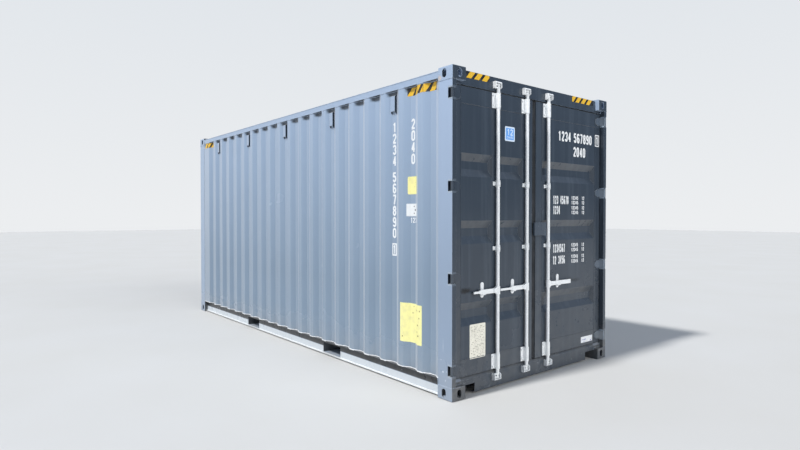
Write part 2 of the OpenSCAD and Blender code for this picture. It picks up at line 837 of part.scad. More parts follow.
module bar_brackets(list) {
    color(steel) for (i = list) translate([0, bar_y[i], 0]) {
        bearing(bracket_half, bracket_h, leaf_z + member_h / 2);
        bearing(bracket_half, bracket_h, leaf_top - member_h / 2);
        for (z = guides) bearing(guide_half, guide_h, z);
    }
}
module left_bar_brackets() { bar_brackets([0, 1]); }
module right_bar_brackets() { bar_brackets([2]); }

// Catch plate with round ends and a ledge that the handle rests on
module handle_catch(i) {
    z = hub_z + catch_rise;
    ledge = hub_z - handle_h / 2 - rest_gap;
    color(steel) translate([0, bar_y[i] + bar_side[i] * catch_reach, 0]) {
        along_x(leaf_face, leaf_face + catch_t) translate([0, z]) rotate(90) slot(catch_h, catch_w);
        block([leaf_face, -catch_w / 2, ledge - catch_t],
            [bar_x + handle_t / 2, catch_w / 2, ledge]);
    }
}
module left_handle_catches() { for (i = [0, 1]) handle_catch(i); }
module right_handle_catch() { handle_catch(2); }

// Overlap plate over the gap between the leaves, held on the right leaf
module overlap_plate() {
    x1 = leaf_face + overlap_d;
    y0 = -left_edge + overlap_gap;
    y1 = bar_inner - bar_r - overlap_bar_gap;
    color(paint) along_z(overlap_z, overlap_z + overlap_h) {
        area([x1 - overlap_t, y0], [x1, y1]);
        area([leaf_face + overlap_t, y0], [x1, y0 + overlap_t]);
        area([leaf_face, y1 - overlap_t], [x1, y1]);
        area([leaf_face, 0], [x1, overlap_t]);
    }
}

// Cam at the end of a lock bar: two nosed plates on a round core; side is -1 for a nose to the left
module cam(side) {
    back = bar_r + bar_gap - cam_clear;
    front = bar_r - cam_clear / 2;
    for (s = [-1, 1]) translate([0, 0, s * (cam_h - cam_plate) / 2])
        along_z(-cam_plate / 2, cam_plate / 2) {
            circle(r = front);
            flip([0, 1, 0], side > 0) polygon([[-back, 0], [-back, -cam_nose],
                [-back / 3, -cam_nose], [front, -cam_nose / 3], [front, 0]]);
        }
    cylinder(r = front - 2 * cut, h = cam_h, center = true);
}

// Keeper on the header or the sill: a jaw on each side of the cam and a bridge past its end,
// with the corners that face outwards cut off
module keeper(side, up) {
    x0 = header_face - bar_x;
    x1 = x0 + keeper_d;
    nose = norm([cam_nose, bar_r + bar_gap - cam_clear]) + jaw_clear;
    back = bar_r + jaw_clear;
    z0 = -cam_h / 2;
    z1 = cam_h / 2 + jaw_clear + bridge_t;
    c = jaw_t / 3;
    flip([0, 0, 1], !up) flip([0, 1, 0], side > 0) intersection() {
        union() {
            along_z(z0, z1) {
                polygon([[x0, -nose - jaw_t], [x1 - c, -nose - jaw_t], [x1, -nose - 2 * c],
                    [x1, -nose - c], [x0 + keeper_d / 2, -nose], [x0, -nose]]);
                polygon([[x0, back + jaw_t], [x1 - c, back + jaw_t], [x1, back + 2 * c], [x1, back],
                    [x0, back]]);
            }
            along_z(z1 - bridge_t, z1) polygon([[x0, -nose - jaw_t], [x1 - c, -nose - jaw_t],
                [x1, -nose - 2 * c], [x1, back + 2 * c], [x1 - c, back + jaw_t], [x0, back + jaw_t]]);
        }
        along_y(-nose - 2 * jaw_t, back + 2 * jaw_t) polygon([[x0, z0], [x0 + keeper_d / 2, z0],
            [x1, z0 + jaw_t], [x1, z1 - jaw_t], [x1 - jaw_t, z1], [x0, z1]]);
    }
}
module cam_keepers() {
    color(steel) for (i = [0 : 2]) for (k = [0, 1])
        translate([bar_x, bar_y[i], cam_z[k]]) keeper(bar_side[i], k == 1);
}

// Lock bar with its cams and the forked hub of its handle
module lock_bar(i) {
    z0 = cam_z[0] + cam_h / 2 - cut;
    z1 = cam_z[1] - cam_h / 2 + cut;
    side = bar_side[i];
    fork = handle_t / 2 + rest_gap;
    color(steel) translate([bar_x, bar_y[i], 0]) {
        translate([0, 0, z0]) cylinder(r = bar_r, h = z1 - z0);
        for (z = cam_z) translate([0, 0, z]) cam(side);
        translate([0, 0, hub_z - collar_h / 2]) cylinder(r = collar_r, h = collar_h);
        for (s = [-1, 1]) translate([s * (fork + cheek_t / 2) - cheek_t / 2, 0, 0])
            along_x(0, cheek_t) flip([1, 0, 0], side > 0) translate([0, hub_z]) {
                translate([-hub_reach, 0]) circle(r = cheek_r);
                polygon([[0, -collar_h / 2], [0, collar_h / 2], [-collar_r, collar_h / 2 - cheek_t],
                    [-hub_reach, cheek_r], [-hub_reach, -cheek_r], [-collar_r, -collar_h / 2 + cheek_t]]);
            }
        translate([-fork - cheek_t / 2, side * hub_reach, hub_z]) rotate([0, 90, 0])
            cylinder(r = pivot_r, h = 2 * fork + cheek_t);
    }
}
module lock_bar_1() { lock_bar(0); }
module lock_bar_2() { lock_bar(1); }
module lock_bar_3() { lock_bar(2); }

// Flat handle with an eye at the hub; a left one narrows past its catch
module handle(i) {
    side = bar_side[i];
    neck = catch_reach + catch_w;
    tip = handle_tip[i] / 2;
    color(steel) translate([bar_x, bar_y[i], hub_z]) difference() {
        along_x(-handle_t / 2, handle_t / 2) flip([1, 0, 0], side > 0) {
            translate([-hub_reach, 0]) circle(r = handle_h / 2);
            polygon([[-hub_reach, -handle_h / 2], [-hub_reach, handle_h / 2], [-neck, handle_h / 2],
                [-neck - handle_h / 2, tip], [-handle_l[i] + cut, tip], [-handle_l[i], tip - cut],
                [-handle_l[i], -tip + cut], [-handle_l[i] + cut, -tip], [-neck - handle_h / 2, -tip],
                [-neck, -handle_h / 2]]);
        }
        translate([-handle_t, side * hub_reach, 0]) rotate([0, 90, 0])
            cylinder(r = pivot_r + pin_clear, h = 2 * handle_t);
    }
}
module handle_1() { handle(0); }
module handle_2() { handle(1); }
module handle_3() { handle(2); }

bottom_corner_castings();
top_corner_castings();
left_rear_post();
right_rear_post();
front_posts();
top_side_rails();
bottom_side_rails();
front_top_rail();
front_bottom_rail();
door_header();
door_sill();
corner_gussets();
left_side_wall();
right_side_wall();
front_wall();
roof_panel();
roof_end_plates();
wall_vents();
crossmembers();
fork_pocket_plates();
floor_panel();
hinge_lugs();
cam_keepers();
left_door_stiles();
left_door_members();
left_door_panel();
left_door_seal();
left_hinge_blades();
left_bar_brackets();
left_handle_catches();
right_door_stiles();
right_door_members();
right_door_panel();
right_door_seal();
right_hinge_blades();
right_bar_brackets();
right_handle_catch();
overlap_plate();
lock_bar_1();
lock_bar_2();
lock_bar_3();
handle_1();
handle_2();
handle_3();
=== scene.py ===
import json
from functools import partial
import bmesh
import bpy
import numpy as np
from mathutils import Matrix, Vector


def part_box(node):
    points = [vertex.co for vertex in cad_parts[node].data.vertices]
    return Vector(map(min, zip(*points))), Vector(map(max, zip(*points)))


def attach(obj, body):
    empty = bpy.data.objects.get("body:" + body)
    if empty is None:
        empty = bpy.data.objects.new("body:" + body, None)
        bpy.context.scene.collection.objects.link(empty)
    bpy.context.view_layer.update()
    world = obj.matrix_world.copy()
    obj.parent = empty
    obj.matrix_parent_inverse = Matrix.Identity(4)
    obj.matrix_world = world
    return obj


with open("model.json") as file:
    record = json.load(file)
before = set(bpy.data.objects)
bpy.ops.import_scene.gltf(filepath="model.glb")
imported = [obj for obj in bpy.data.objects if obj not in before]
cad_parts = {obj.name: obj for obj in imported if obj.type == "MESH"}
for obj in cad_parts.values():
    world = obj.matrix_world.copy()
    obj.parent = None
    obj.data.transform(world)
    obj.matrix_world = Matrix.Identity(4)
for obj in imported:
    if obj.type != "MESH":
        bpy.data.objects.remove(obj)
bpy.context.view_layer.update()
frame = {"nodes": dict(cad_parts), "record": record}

print("frame loaded:", len(frame["nodes"]), "nodes")

# Camera at the photo's place, worked out from the container's own edges
camera = {"place": (6.3919, -4.5455, 1.6016), "yaw": 140.72, "pitch": -0.931, "roll": 0.02,
          "focalPixels": 552.73, "imageWidth": 800, "sensor": 36}


def addCamera(c):
    yaw, pitch, roll = np.radians([c["yaw"], c["pitch"], c["roll"]])
    forward = np.array([np.cos(pitch) * np.cos(yaw), np.cos(pitch) * np.sin(yaw), np.sin(pitch)])
    side = np.array([np.sin(yaw), -np.cos(yaw), 0])
    up = np.cross(side, forward)
    right, top = np.cos(roll) * side + np.sin(roll) * up, np.cos(roll) * up - np.sin(roll) * side
    seen = bpy.data.objects.new("camera", bpy.data.cameras.new("camera"))
    seen.data.sensor_width = c["sensor"]
    seen.data.lens = c["focalPixels"] / c["imageWidth"] * c["sensor"]
    turn = np.eye(4)
    turn[:3, :3], turn[:3, 3] = np.stack([right, top, -forward], 1), c["place"]
    seen.matrix_world = Matrix(turn.tolist())
    bpy.context.scene.collection.objects.link(seen)
    bpy.context.scene.camera = seen


addCamera(camera)
bpy.context.scene.view_settings.view_transform = "Standard"


# A hex colour as sRGB to the linear values that Blender's sockets take
def linear(hexColour):
    c = np.array([int(hexColour[i:i + 2], 16) for i in (1, 3, 5)]) / 255
    return (*np.where(c <= 0.04045, c / 12.92, ((c + 0.055) / 1.055) ** 2.4).tolist(), 1)


# Adds a node: inputs holds a value or another node's output for each socket, settings its own properties
def addNode(tree, kind, inputs={}, **settings):
    made = tree.nodes.new("ShaderNode" + kind)
    for key, value in settings.items():
        setattr(made, key, value)
    for key, value in inputs.items():
        if isinstance(value, bpy.types.NodeSocket):
            tree.links.new(value, made.inputs[key])
        else:
            made.inputs[key].default_value = value
    return made


# An empty material, and addNode for its own tree
def newMaterial(name):
    made = bpy.data.materials.new(name)
    made.use_nodes = True
    made.node_tree.nodes.clear()
    return made, partial(addNode, made.node_tree)


# Stage: a pale floor, a key lamp on the side wall, a soft fill on the doors that no surface mirrors, and the
# room's own light, which is paler on the lamp's side. The doors mirror a grey screen with blue above it
stage = {"floor": "#cfcdc8", "floorCloud": "#d6d5d3", "floorHalf": 60, "cloudScale": 0.6,
         "lampPower": 3.0, "lampAngle": 5, "lampTravel": (0.045, 0.613, -0.789),
         "fillPower": 1.9, "fillAngle": 50, "fillTravel": (-0.96, -0.12, -0.27),
         "roomLight": 0.54, "zenith": "#93abcd", "sunSide": "#d3dbe4", "doorSide": "#97a0ab",
         "sunWay": (-0.6, -0.8, 0), "backdrop": "#eceef0", "backdropTop": "#cdd7e2",
         "screen": "#616f82", "screenSky": "#a9bddb", "screenWay": (0.6, 0.8, 0), "screenEdge": (0.35, 0.85),
         "screenRise": (0.05, 0.6)}


def addStage(s):
    half = s["floorHalf"]
    mesh = bpy.data.meshes.new("floor")
    corners = [(-half, -half, 0), (half, -half, 0), (half, half, 0), (-half, half, 0)]
    mesh.from_pydata(corners, [], [(0, 1, 2, 3)])
    floor = bpy.data.objects.new("floor", mesh)
    bpy.context.scene.collection.objects.link(floor)
    # Pale screed: matt, with clouds a metre or two wide
    material, add = newMaterial("paleScreed")
    place = add("TexCoord").outputs["Object"]
    clouds = add("TexNoise", {"Vector": place, "Scale": s["cloudScale"], "Detail": 4.0}).outputs["Fac"]
    tone = add("Mix", {0: clouds, 6: linear(s["floor"]), 7: linear(s["floorCloud"])}, data_type="RGBA").outputs[2]
    shader = add("BsdfPrincipled", {"Base Color": tone, "Roughness": 0.9})
    add("OutputMaterial", {"Surface": shader.outputs[0]})
    mesh.materials.append(material)

    for name, travel, power, angle in (("keyLamp", s["lampTravel"], s["lampPower"], s["lampAngle"]),
                                       ("fillLamp", s["fillTravel"], s["fillPower"], s["fillAngle"])):
        lamp = bpy.data.objects.new(name, bpy.data.lights.new(name, "SUN"))
        lamp.data.energy, lamp.data.angle = power, np.radians(angle)
        back = -np.array(travel) / np.linalg.norm(travel)
        side = np.cross((0, 0, 1), back)
        side /= np.linalg.norm(side)
        lamp.matrix_world = Matrix(np.stack([side, np.cross(back, side), back], 1).tolist()).to_4x4()
        lamp.visible_glossy = name == "keyLamp"
        bpy.context.scene.collection.objects.link(lamp)

    world = bpy.data.worlds.new("room")
    bpy.context.scene.world = world
    world.use_nodes = True
    world.node_tree.nodes.clear()
    add = partial(addNode, world.node_tree)
    ray = add("LightPath").outputs
    seen = add("Math", {0: ray["Is Camera Ray"], 1: ray["Is Transmission Ray"]}, operation="MAXIMUM").outputs[0]
    way = add("TexCoord").outputs["Generated"]
    toSun = add("VectorMath", {0: way, 1: s["sunWay"]}, operation="DOT_PRODUCT").outputs["Value"]
    share = add("MapRange", {"Value": toSun, "From Min": -1.0, "From Max": 1.0}).outputs[0]
    height = add("SeparateXYZ", {0: way}).outputs["Z"]
    level = add("Mix", {0: share, 6: linear(s["doorSide"]), 7: linear(s["sunSide"])}, data_type="RGBA").outputs[2]
    tone = add("Mix", {0: height, 6: level, 7: linear(s["zenith"])}, data_type="RGBA").outputs[2]
    light = add("Background", {"Color": tone, "Strength": s["roomLight"]}).outputs[0]
    back = add("Mix", {0: height, 6: linear(s["backdrop"]), 7: linear(s["backdropTop"])},
               data_type="RGBA").outputs[2]
    shown = add("Background", {"Color": back, "Strength": 1.0}).outputs[0]
    # What is mirrored: the screen in the direction that the doors face, and the pale backdrop elsewhere
    toScreen = add("VectorMath", {0: way, 1: s["screenWay"]}, operation="DOT_PRODUCT").outputs["Value"]
    screened = add("MapRange", {"Value": toScreen, "From Min": s["screenEdge"][0],
                                "From Max": s["screenEdge"][1]}).outputs[0]
    above = add("MapRange", {"Value": height, "From Min": s["screenRise"][0],
                             "From Max": s["screenRise"][1]}).outputs[0]
    screen = add("Mix", {0: above, 6: linear(s["screen"]), 7: linear(s["screenSky"])}, data_type="RGBA").outputs[2]
    mirrored = add("Mix", {0: screened, 6: back, 7: screen}, data_type="RGBA").outputs[2]
    mirrored = add("Background", {"Color": mirrored, "Strength": 1.0}).outputs[0]
    both = add("MixShader", {0: ray["Is Glossy Ray"], 1: light, 2: mirrored}).outputs[0]
    both = add("MixShader", {0: seen, 1: both, 2: shown}).outputs[0]
    add("OutputWorld", {"Surface": both})


addStage(stage)
print("stage made")

# Sprayed alkyd enamel on steel, slate blue: a smooth film whose gloss shows the sheet's slight waves. Heights
# are in metres; scales are per metre, so the clouds are 0.9 m wide, the rain marks 60 mm and the peel 4 mm
paint = {"cloud": 1.1, "roughness": (0.17, 0.32), "ior": 1.5, "bloomRoughness": 0.35,
         "wave": 3.2, "waveDeep": 0.004, "peel": 240, "peelDeep": 0.0002, "peelStrength": 0.5,
         "bleachedAndLit": "#b7cbe8", "bleachFrom": 0.9, "bleachTo": 2.9, "sunFrom": 0.5, "sunTo": 2.8, "sunGain": 1.3,
         "rain": (16, 16, 0.5), "rainFrom": 0.5, "rainTo": 0.8, "rainLevel": 0.09, "faded": "#8b98a6",
         "dust": "#b3aca0", "patch": 9.0, "splashFoot": 0.05, "dustRough": 0.6,
         "primer": "#b3b9be", "chip": 38, "chipLow": 0.1, "chipHigh": 1.0, "chipNeed": (0.75, 0.84),
         "rubbedHighlight": "#c6cfd9", "rubFrom": 0.93, "rubTo": 0.75, "rubLevel": 0.4,
         "bandSoft": 0.004, "grime": "#1a1e24"}


# A soft-edged mark: 1 inside the ellipsoid (centre, half sizes), its outline disturbed by noise
def spotMask(add, place, noise, centre, half, level):
    local = add("Mapping", {"Vector": place, "Location": tuple(-c / h for c, h in zip(centre, half)),
                            "Scale": tuple(1 / h for h in half)}).outputs[0]
    away = add("VectorMath", {0: local}, operation="LENGTH").outputs["Value"]
    away = add("Math", {0: away, 1: noise}, operation="ADD").outputs[0]
    return add("MapRange", {"Value": away, "From Min": 1.7, "From Max": 0.7, "To Max": level},
               interpolation_type="SMOOTHSTEP").outputs[0]


# base and second are the cloud's two tones, spots are marks (centre, half sizes, colour, strength) on the paint,
# and edgeRadius is how far a sheet's bend or a plate's edge is rounded. endShadeTones are two darker tones,
# painted shade, on what faces the door end; recess (x, y) paints that shade on the sides of the door opening too,
# past x and within y of the middle. dusty holds the dust on up-faces, under overhangs and low down, and the height
# that the low dust reaches. chalk is the bloom that shows along the surface, bleachedAndLit the paling towards the
# roof, partly fading and partly painted light, bands are levels of colour by height (low, high, colour, strength),
# here painted shade and painted light with some dust, and paintedRailShadow is painted shadow in a wall's recesses
# under the top rail
def paintMaterial(name, base, second, spots=(), edgeRadius=0.003, endShadeTones=None, dusty=(0.45, 0.1, 0.22, 0.5),
                  chalk=0, bleachedAndLit=0, bands=(), recess=None, paintedRailShadow=None):
    material, add = newMaterial(name)
    place = add("TexCoord").outputs["Object"]
    axis = add("SeparateXYZ", {0: place}).outputs
    clouds = add("TexNoise", {"Vector": place, "Scale": paint["cloud"], "Detail": 4.0}).outputs["Fac"]
    tone = add("Mix", {0: clouds, 6: linear(base), 7: linear(second)}, data_type="RGBA").outputs[2]
    normal = add("NewGeometry").outputs["Normal"]
    toward = add("SeparateXYZ", {0: normal}).outputs
    # Paler towards the roof, partly fading and partly painted light, and towards the door end, painted light
    if bleachedAndLit:
        share = add("MapRange", {"Value": axis["Z"], "From Min": paint["bleachFrom"],
                                 "From Max": paint["bleachTo"], "To Max": bleachedAndLit}).outputs[0]
        near = add("MapRange", {"Value": axis["X"], "From Min": paint["sunFrom"], "From Max": paint["sunTo"],
                                "To Min": 1.0, "To Max": paint["sunGain"]}).outputs[0]
        share = add("Math", {0: share, 1: near}, operation="MULTIPLY").outputs[0]
        tone = add("Mix", {0: share, 6: tone, 7: linear(paint["bleachedAndLit"])}, data_type="RGBA").outputs[2]
    # Bands of colour by height: here painted shade and painted light, with some dust, on the rails
    for bottom, top, colour, level in bands:
        rise = add("MapRange", {"Value": axis["Z"], "From Min": bottom,
                                "From Max": bottom + paint["bandSoft"]}).outputs[0]
        fall = add("MapRange", {"Value": axis["Z"], "From Min": top + paint["bandSoft"], "From Max": top,
                                "To Max": level}).outputs[0]
        share = add("Math", {0: rise, 1: fall}, operation="MULTIPLY").outputs[0]
        tone = add("Mix", {0: share, 6: tone, 7: linear(colour)}, data_type="RGBA").outputs[2]
    # Painted shadow of the top rail on the outward faces of the wall's recesses
    if paintedRailShadow:
        across = add("Math", {0: axis["Y"]}, operation="ABSOLUTE").outputs[0]
        share = add("MapRange", {"Value": across, "From Min": paintedRailShadow["outer"], "From Max": paintedRailShadow["inner"],
                                 "To Max": paintedRailShadow["level"]}).outputs[0]
        high = add("MapRange", {"Value": axis["Z"], "From Min": paintedRailShadow["low"],
                                "From Max": paintedRailShadow["high"]}).outputs[0]
        outward = add("Math", {0: axis["Y"], 1: toward["Y"]}, operation="MULTIPLY").outputs[0]
        outward = add("Math", {0: outward, 1: 0.0}, operation="GREATER_THAN").outputs[0]
        for limit in (high, outward):
            share = add("Math", {0: share, 1: limit}, operation="MULTIPLY").outputs[0]
        tone = add("Mix", {0: share, 6: tone, 7: linear(paint["grime"])}, data_type="RGBA").outputs[2]
    # Painted shade: the darker tones on faces towards the door end and in the door opening's recess
    if endShadeTones:
        ends = add("Mix", {0: clouds, 6: linear(endShadeTones[0]), 7: linear(endShadeTones[1])},
                   data_type="RGBA").outputs[2]
        share = add("MapRange", {"Value": toward["X"], "From Min": 0.6, "From Max": 0.8}).outputs[0]
        if recess:
            back = add("Math", {0: axis["X"], 1: recess[0]}, operation="GREATER_THAN").outputs[0]
            inner = add("Math", {0: axis["Y"]}, operation="ABSOLUTE").outputs[0]
            inner = add("Math", {0: inner, 1: recess[1]}, operation="LESS_THAN").outputs[0]
            back = add("Math", {0: back, 1: inner}, operation="MULTIPLY").outputs[0]
            share = add("Math", {0: share, 1: back}, operation="MAXIMUM").outputs[0]
        tone = add("Mix", {0: share, 6: tone, 7: ends}, data_type="RGBA").outputs[2]
    # Rain marks: noise drawn out along the height
    long = add("Mapping", {"Vector": place, "Scale": paint["rain"]}).outputs[0]
    rain = add("TexNoise", {"Vector": long, "Scale": 1.0, "Detail": 3.0}).outputs["Fac"]
    rain = add("MapRange", {"Value": rain, "From Min": paint["rainFrom"], "From Max": paint["rainTo"],
                            "To Max": paint["rainLevel"]}).outputs[0]
    tone = add("Mix", {0: rain, 6: tone, 7: linear(paint["faded"])}, data_type="RGBA").outputs[2]
    # Dust: on what faces up, under overhangs that rain does not rinse, and thrown up from the ground. On the doors
    # the paler down-facing faces and the pale film high up the leaves are also painted light from the floor
    onUp, underDustAndLight, lowDustAndLight, reach = dusty
    patch = add("TexNoise", {"Vector": place, "Scale": paint["patch"], "Detail": 6.0,
                             "Roughness": 0.65}).outputs["Fac"]
    upper = add("MapRange", {"Value": toward["Z"], "From Min": 0.3, "From Max": 0.9, "To Max": onUp}).outputs[0]
    downDustAndLight = add("MapRange", {"Value": toward["Z"], "From Min": -0.15, "From Max": -0.5,
                             "To Max": underDustAndLight}).outputs[0]
    low = add("MapRange", {"Value": axis["Z"], "From Min": reach, "From Max": paint["splashFoot"],
                           "To Max": lowDustAndLight}, interpolation_type="SMOOTHSTEP").outputs[0]
    dust = add("Math", {0: upper, 1: low}, operation="MAXIMUM").outputs[0]
    dust = add("Math", {0: dust, 1: downDustAndLight}, operation="ADD").outputs[0]
    patchy = add("MapRange", {"Value": patch, "From Min": 0.2, "From Max": 0.6}).outputs[0]
    dust = add("Math", {0: dust, 1: patchy}, operation="MULTIPLY").outputs[0]
    tone = add("Mix", {0: dust, 6: tone, 7: linear(paint["dust"])}, data_type="RGBA").outputs[2]
    # Chips down to the primer, some 10 mm across, most of them low down
    speck = add("TexNoise", {"Vector": place, "Scale": paint["chip"], "Detail": 2.0}).outputs["Fac"]
    need = add("MapRange", {"Value": axis["Z"], "From Min": paint["chipLow"], "From Max": paint["chipHigh"],
                            "To Min": paint["chipNeed"][0], "To Max": paint["chipNeed"][1]}).outputs[0]
    chip = add("Math", {0: speck, 1: need}, operation="GREATER_THAN").outputs[0]
    tone = add("Mix", {0: chip, 6: tone, 7: linear(paint["primer"])}, data_type="RGBA").outputs[2]
    # Edges rubbed pale where the rounded normal leaves the flat one, partly wear and partly a painted highlight
    rounded = add("Bevel", {"Radius": edgeRadius}, samples=4).outputs[0]
    same = add("VectorMath", {0: rounded, 1: normal}, operation="DOT_PRODUCT").outputs["Value"]
    edge = add("MapRange", {"Value": same, "From Min": paint["rubFrom"], "From Max": paint["rubTo"],
                            "To Max": paint["rubLevel"]}).outputs[0]
    tone = add("Mix", {0: edge, 6: tone, 7: linear(paint["rubbedHighlight"])}, data_type="RGBA").outputs[2]
    noise = add("MapRange", {"Value": patch, "From Min": 0.3, "From Max": 0.7}).outputs[0]
    for centre, half, colour, level in spots:
        mark = spotMask(add, place, noise, centre, half, level)
        tone = add("Mix", {0: mark, 6: tone, 7: linear(colour)}, data_type="RGBA").outputs[2]
    rough = add("MapRange", {"Value": clouds, "To Min": paint["roughness"][0],
                             "To Max": paint["roughness"][1]}).outputs[0]
    matt = add("Math", {0: dust, 1: paint["dustRough"]}, operation="MULTIPLY").outputs[0]
    rough = add("Math", {0: rough, 1: matt}, operation="ADD").outputs[0]
    wave = add("TexNoise", {"Vector": place, "Scale": paint["wave"], "Detail": 1.0}).outputs["Fac"]
    bump = add("Bump", {"Height": wave, "Strength": 1.0, "Distance": paint["waveDeep"],
                        "Normal": rounded}).outputs[0]
    peel = add("TexNoise", {"Vector": place, "Scale": paint["peel"], "Detail": 1.0}).outputs["Fac"]
    bump = add("Bump", {"Height": peel, "Strength": paint["peelStrength"], "Distance": paint["peelDeep"],
                        "Normal": bump}).outputs[0]
    shader = add("BsdfPrincipled", {"Base Color": tone, "Roughness": rough, "IOR": paint["ior"], "Normal": bump,
                                    "Sheen Weight": chalk, "Sheen Roughness": paint["bloomRoughness"]})
    add("OutputMaterial", {"Surface": shader.outputs[0]})
    return material


# Hot-dip galvanised steel: bright zinc whose crystals, 9 mm wide, differ a little in tone and gloss, dulled by
# its white oxide. oxide holds how much of the zinc that covers where it is thin and where it is thick
zinc = {"oxide": (0.65, 0.95), "dark": "#f0f3f4", "light": "#fbfcfc", "crystal": 110, "gloss": (0.36, 0.46),
        "weather": 14.0, "grime": "#c9cccd", "grimeLevel": 0.25, "grain": 160.0, "grainDeep": 0.0004}


def zincMaterial(name):
    material, add = newMaterial(name)
    place = add("TexCoord").outputs["Object"]
    crystal = add("TexVoronoi", {"Vector": place, "Scale": zinc["crystal"]}).outputs["Color"]
    lot = add("SeparateColor", {0: crystal}).outputs[0]
    tone = add("Mix", {0: lot, 6: linear(zinc["dark"]), 7: linear(zinc["light"])}, data_type="RGBA").outputs[2]
    weather = add("TexNoise", {"Vector": place, "Scale": zinc["weather"], "Detail": 5.0}).outputs["Fac"]
    dull = add("MapRange", {"Value": weather, "From Min": 0.55, "From Max": 0.8,
                            "To Max": zinc["grimeLevel"]}).outputs[0]
    tone = add("Mix", {0: dull, 6: tone, 7: linear(zinc["grime"])}, data_type="RGBA").outputs[2]
    rough = add("MapRange", {"Value": lot, "To Min": zinc["gloss"][0], "To Max": zinc["gloss"][1]}).outputs[0]
    grain = add("TexNoise", {"Vector": place, "Scale": zinc["grain"], "Detail": 2.0}).outputs["Fac"]
    bump = add("Bump", {"Height": grain, "Strength": 0.6, "Distance": zinc["grainDeep"]}).outputs[0]
    metal = add("MapRange", {"Value": weather, "From Min": 0.35, "From Max": 0.65,
                             "To Min": 1 - zinc["oxide"][0], "To Max": 1 - zinc["oxide"][1]}).outputs[0]
    shader = add("BsdfPrincipled", {"Base Color": tone, "Roughness": rough, "Metallic": metal, "Normal": bump})
    add("OutputMaterial", {"Surface": shader.outputs[0]})
    return material


# Extruded EPDM rubber: matt, nearly black, greyed by dust, with a grain of 1 mm
rubber = {"base": "#2d2f32", "dust": "#484a4e", "film": 7.0, "filmLevel": 0.8, "grain": 900, "grainDeep": 0.0003,
          "roughness": 0.78, "ior": 1.52}


def rubberMaterial(name):
    material, add = newMaterial(name)
    place = add("TexCoord").outputs["Object"]
    film = add("TexNoise", {"Vector": place, "Scale": rubber["film"], "Detail": 5.0}).outputs["Fac"]
    film = add("MapRange", {"Value": film, "From Min": 0.35, "From Max": 0.75,
                            "To Max": rubber["filmLevel"]}).outputs[0]
    tone = add("Mix", {0: film, 6: linear(rubber["base"]), 7: linear(rubber["dust"])}, data_type="RGBA").outputs[2]
    grain = add("TexNoise", {"Vector": place, "Scale": rubber["grain"], "Detail": 1.0}).outputs["Fac"]
    bump = add("Bump", {"Height": grain, "Strength": 0.3, "Distance": rubber["grainDeep"]}).outputs[0]
    shader = add("BsdfPrincipled", {"Base Color": tone, "Roughness": rubber["roughness"], "IOR": rubber["ior"],
                                    "Normal": bump})
    add("OutputMaterial", {"Surface": shader.outputs[0]})
    return material


# Hardwood plywood with worn varnish: sheets 1.17 m wide and 2.44 m long, grain 40 mm wide along the container
plywood = {"light": "#a67c52", "dark": "#6e4a2c", "joint": "#2c1f14", "sheetLength": 2.44, "sheetWidth": 1.17,
           "jointWidth": 0.004, "sheetTones": ("#8a8a8a", "#d0d0d0"), "sheetLevel": 0.35, "grain": (1.2, 26, 26),
           "grainDeep": 0.0006, "scuff": 3.0, "roughness": (0.4, 0.75)}


def plywoodMaterial(name):
    material, add = newMaterial(name)
    place = add("TexCoord").outputs["Object"]
    long = add("Mapping", {"Vector": place, "Scale": plywood["grain"]}).outputs[0]
    grain = add("TexNoise", {"Vector": long, "Scale": 1.0, "Detail": 7.0, "Distortion": 0.8}).outputs["Fac"]
    grain = add("MapRange", {"Value": grain, "From Min": 0.3, "From Max": 0.7}).outputs[0]
    tone = add("Mix", {0: grain, 6: linear(plywood["light"]), 7: linear(plywood["dark"])},
               data_type="RGBA").outputs[2]
    board = add("TexBrick", {"Vector": place, "Color1": linear(plywood["sheetTones"][0]),
                             "Color2": linear(plywood["sheetTones"][1]), "Mortar": linear("#000000"), "Scale": 1.0,
                             "Mortar Size": plywood["jointWidth"], "Brick Width": plywood["sheetLength"],
                             "Row Height": plywood["sheetWidth"]})
    shade = add("Mix", {0: plywood["sheetLevel"], 6: tone, 7: board.outputs["Color"]}, data_type="RGBA",
                blend_type="MULTIPLY").outputs[2]
    tone = add("Mix", {0: board.outputs["Fac"], 6: shade, 7: linear(plywood["joint"])},
               data_type="RGBA").outputs[2]
    scuff = add("TexNoise", {"Vector": place, "Scale": plywood["scuff"], "Detail": 8.0,
                             "Roughness": 0.7}).outputs["Fac"]
    rough = add("MapRange", {"Value": scuff, "From Min": 0.3, "From Max": 0.7, "To Min": plywood["roughness"][0],
                             "To Max": plywood["roughness"][1]}).outputs[0]
    bump = add("Bump", {"Height": grain, "Strength": 0.4, "Distance": plywood["grainDeep"]}).outputs[0]
    shader = add("BsdfPrincipled", {"Base Color": tone, "Roughness": rough, "Normal": bump})
    add("OutputMaterial", {"Surface": shader.outputs[0]})
    return material


# Calendered vinyl film: even colour with faint dirt in blots of 45 mm, slightly glossy
vinyl = {"dirt": "#8f8b82", "roughness": 0.42, "ior": 1.52, "blot": 22.0, "blotLevel": 0.4}


def filmMaterial(name, colour, dirt=vinyl["dirt"]):
    material, add = newMaterial(name)
    place = add("TexCoord").outputs["Object"]
    film = add("TexNoise", {"Vector": place, "Scale": vinyl["blot"], "Detail": 6.0}).outputs["Fac"]
    film = add("MapRange", {"Value": film, "From Min": 0.5, "From Max": 0.85,
                            "To Max": vinyl["blotLevel"]}).outputs[0]
    tone = add("Mix", {0: film, 6: linear(colour), 7: linear(dirt)}, data_type="RGBA").outputs[2]
    shader = add("BsdfPrincipled", {"Base Color": tone, "Roughness": vinyl["roughness"], "IOR": vinyl["ior"]})
    add("OutputMaterial", {"Surface": shader.outputs[0]})
    return material


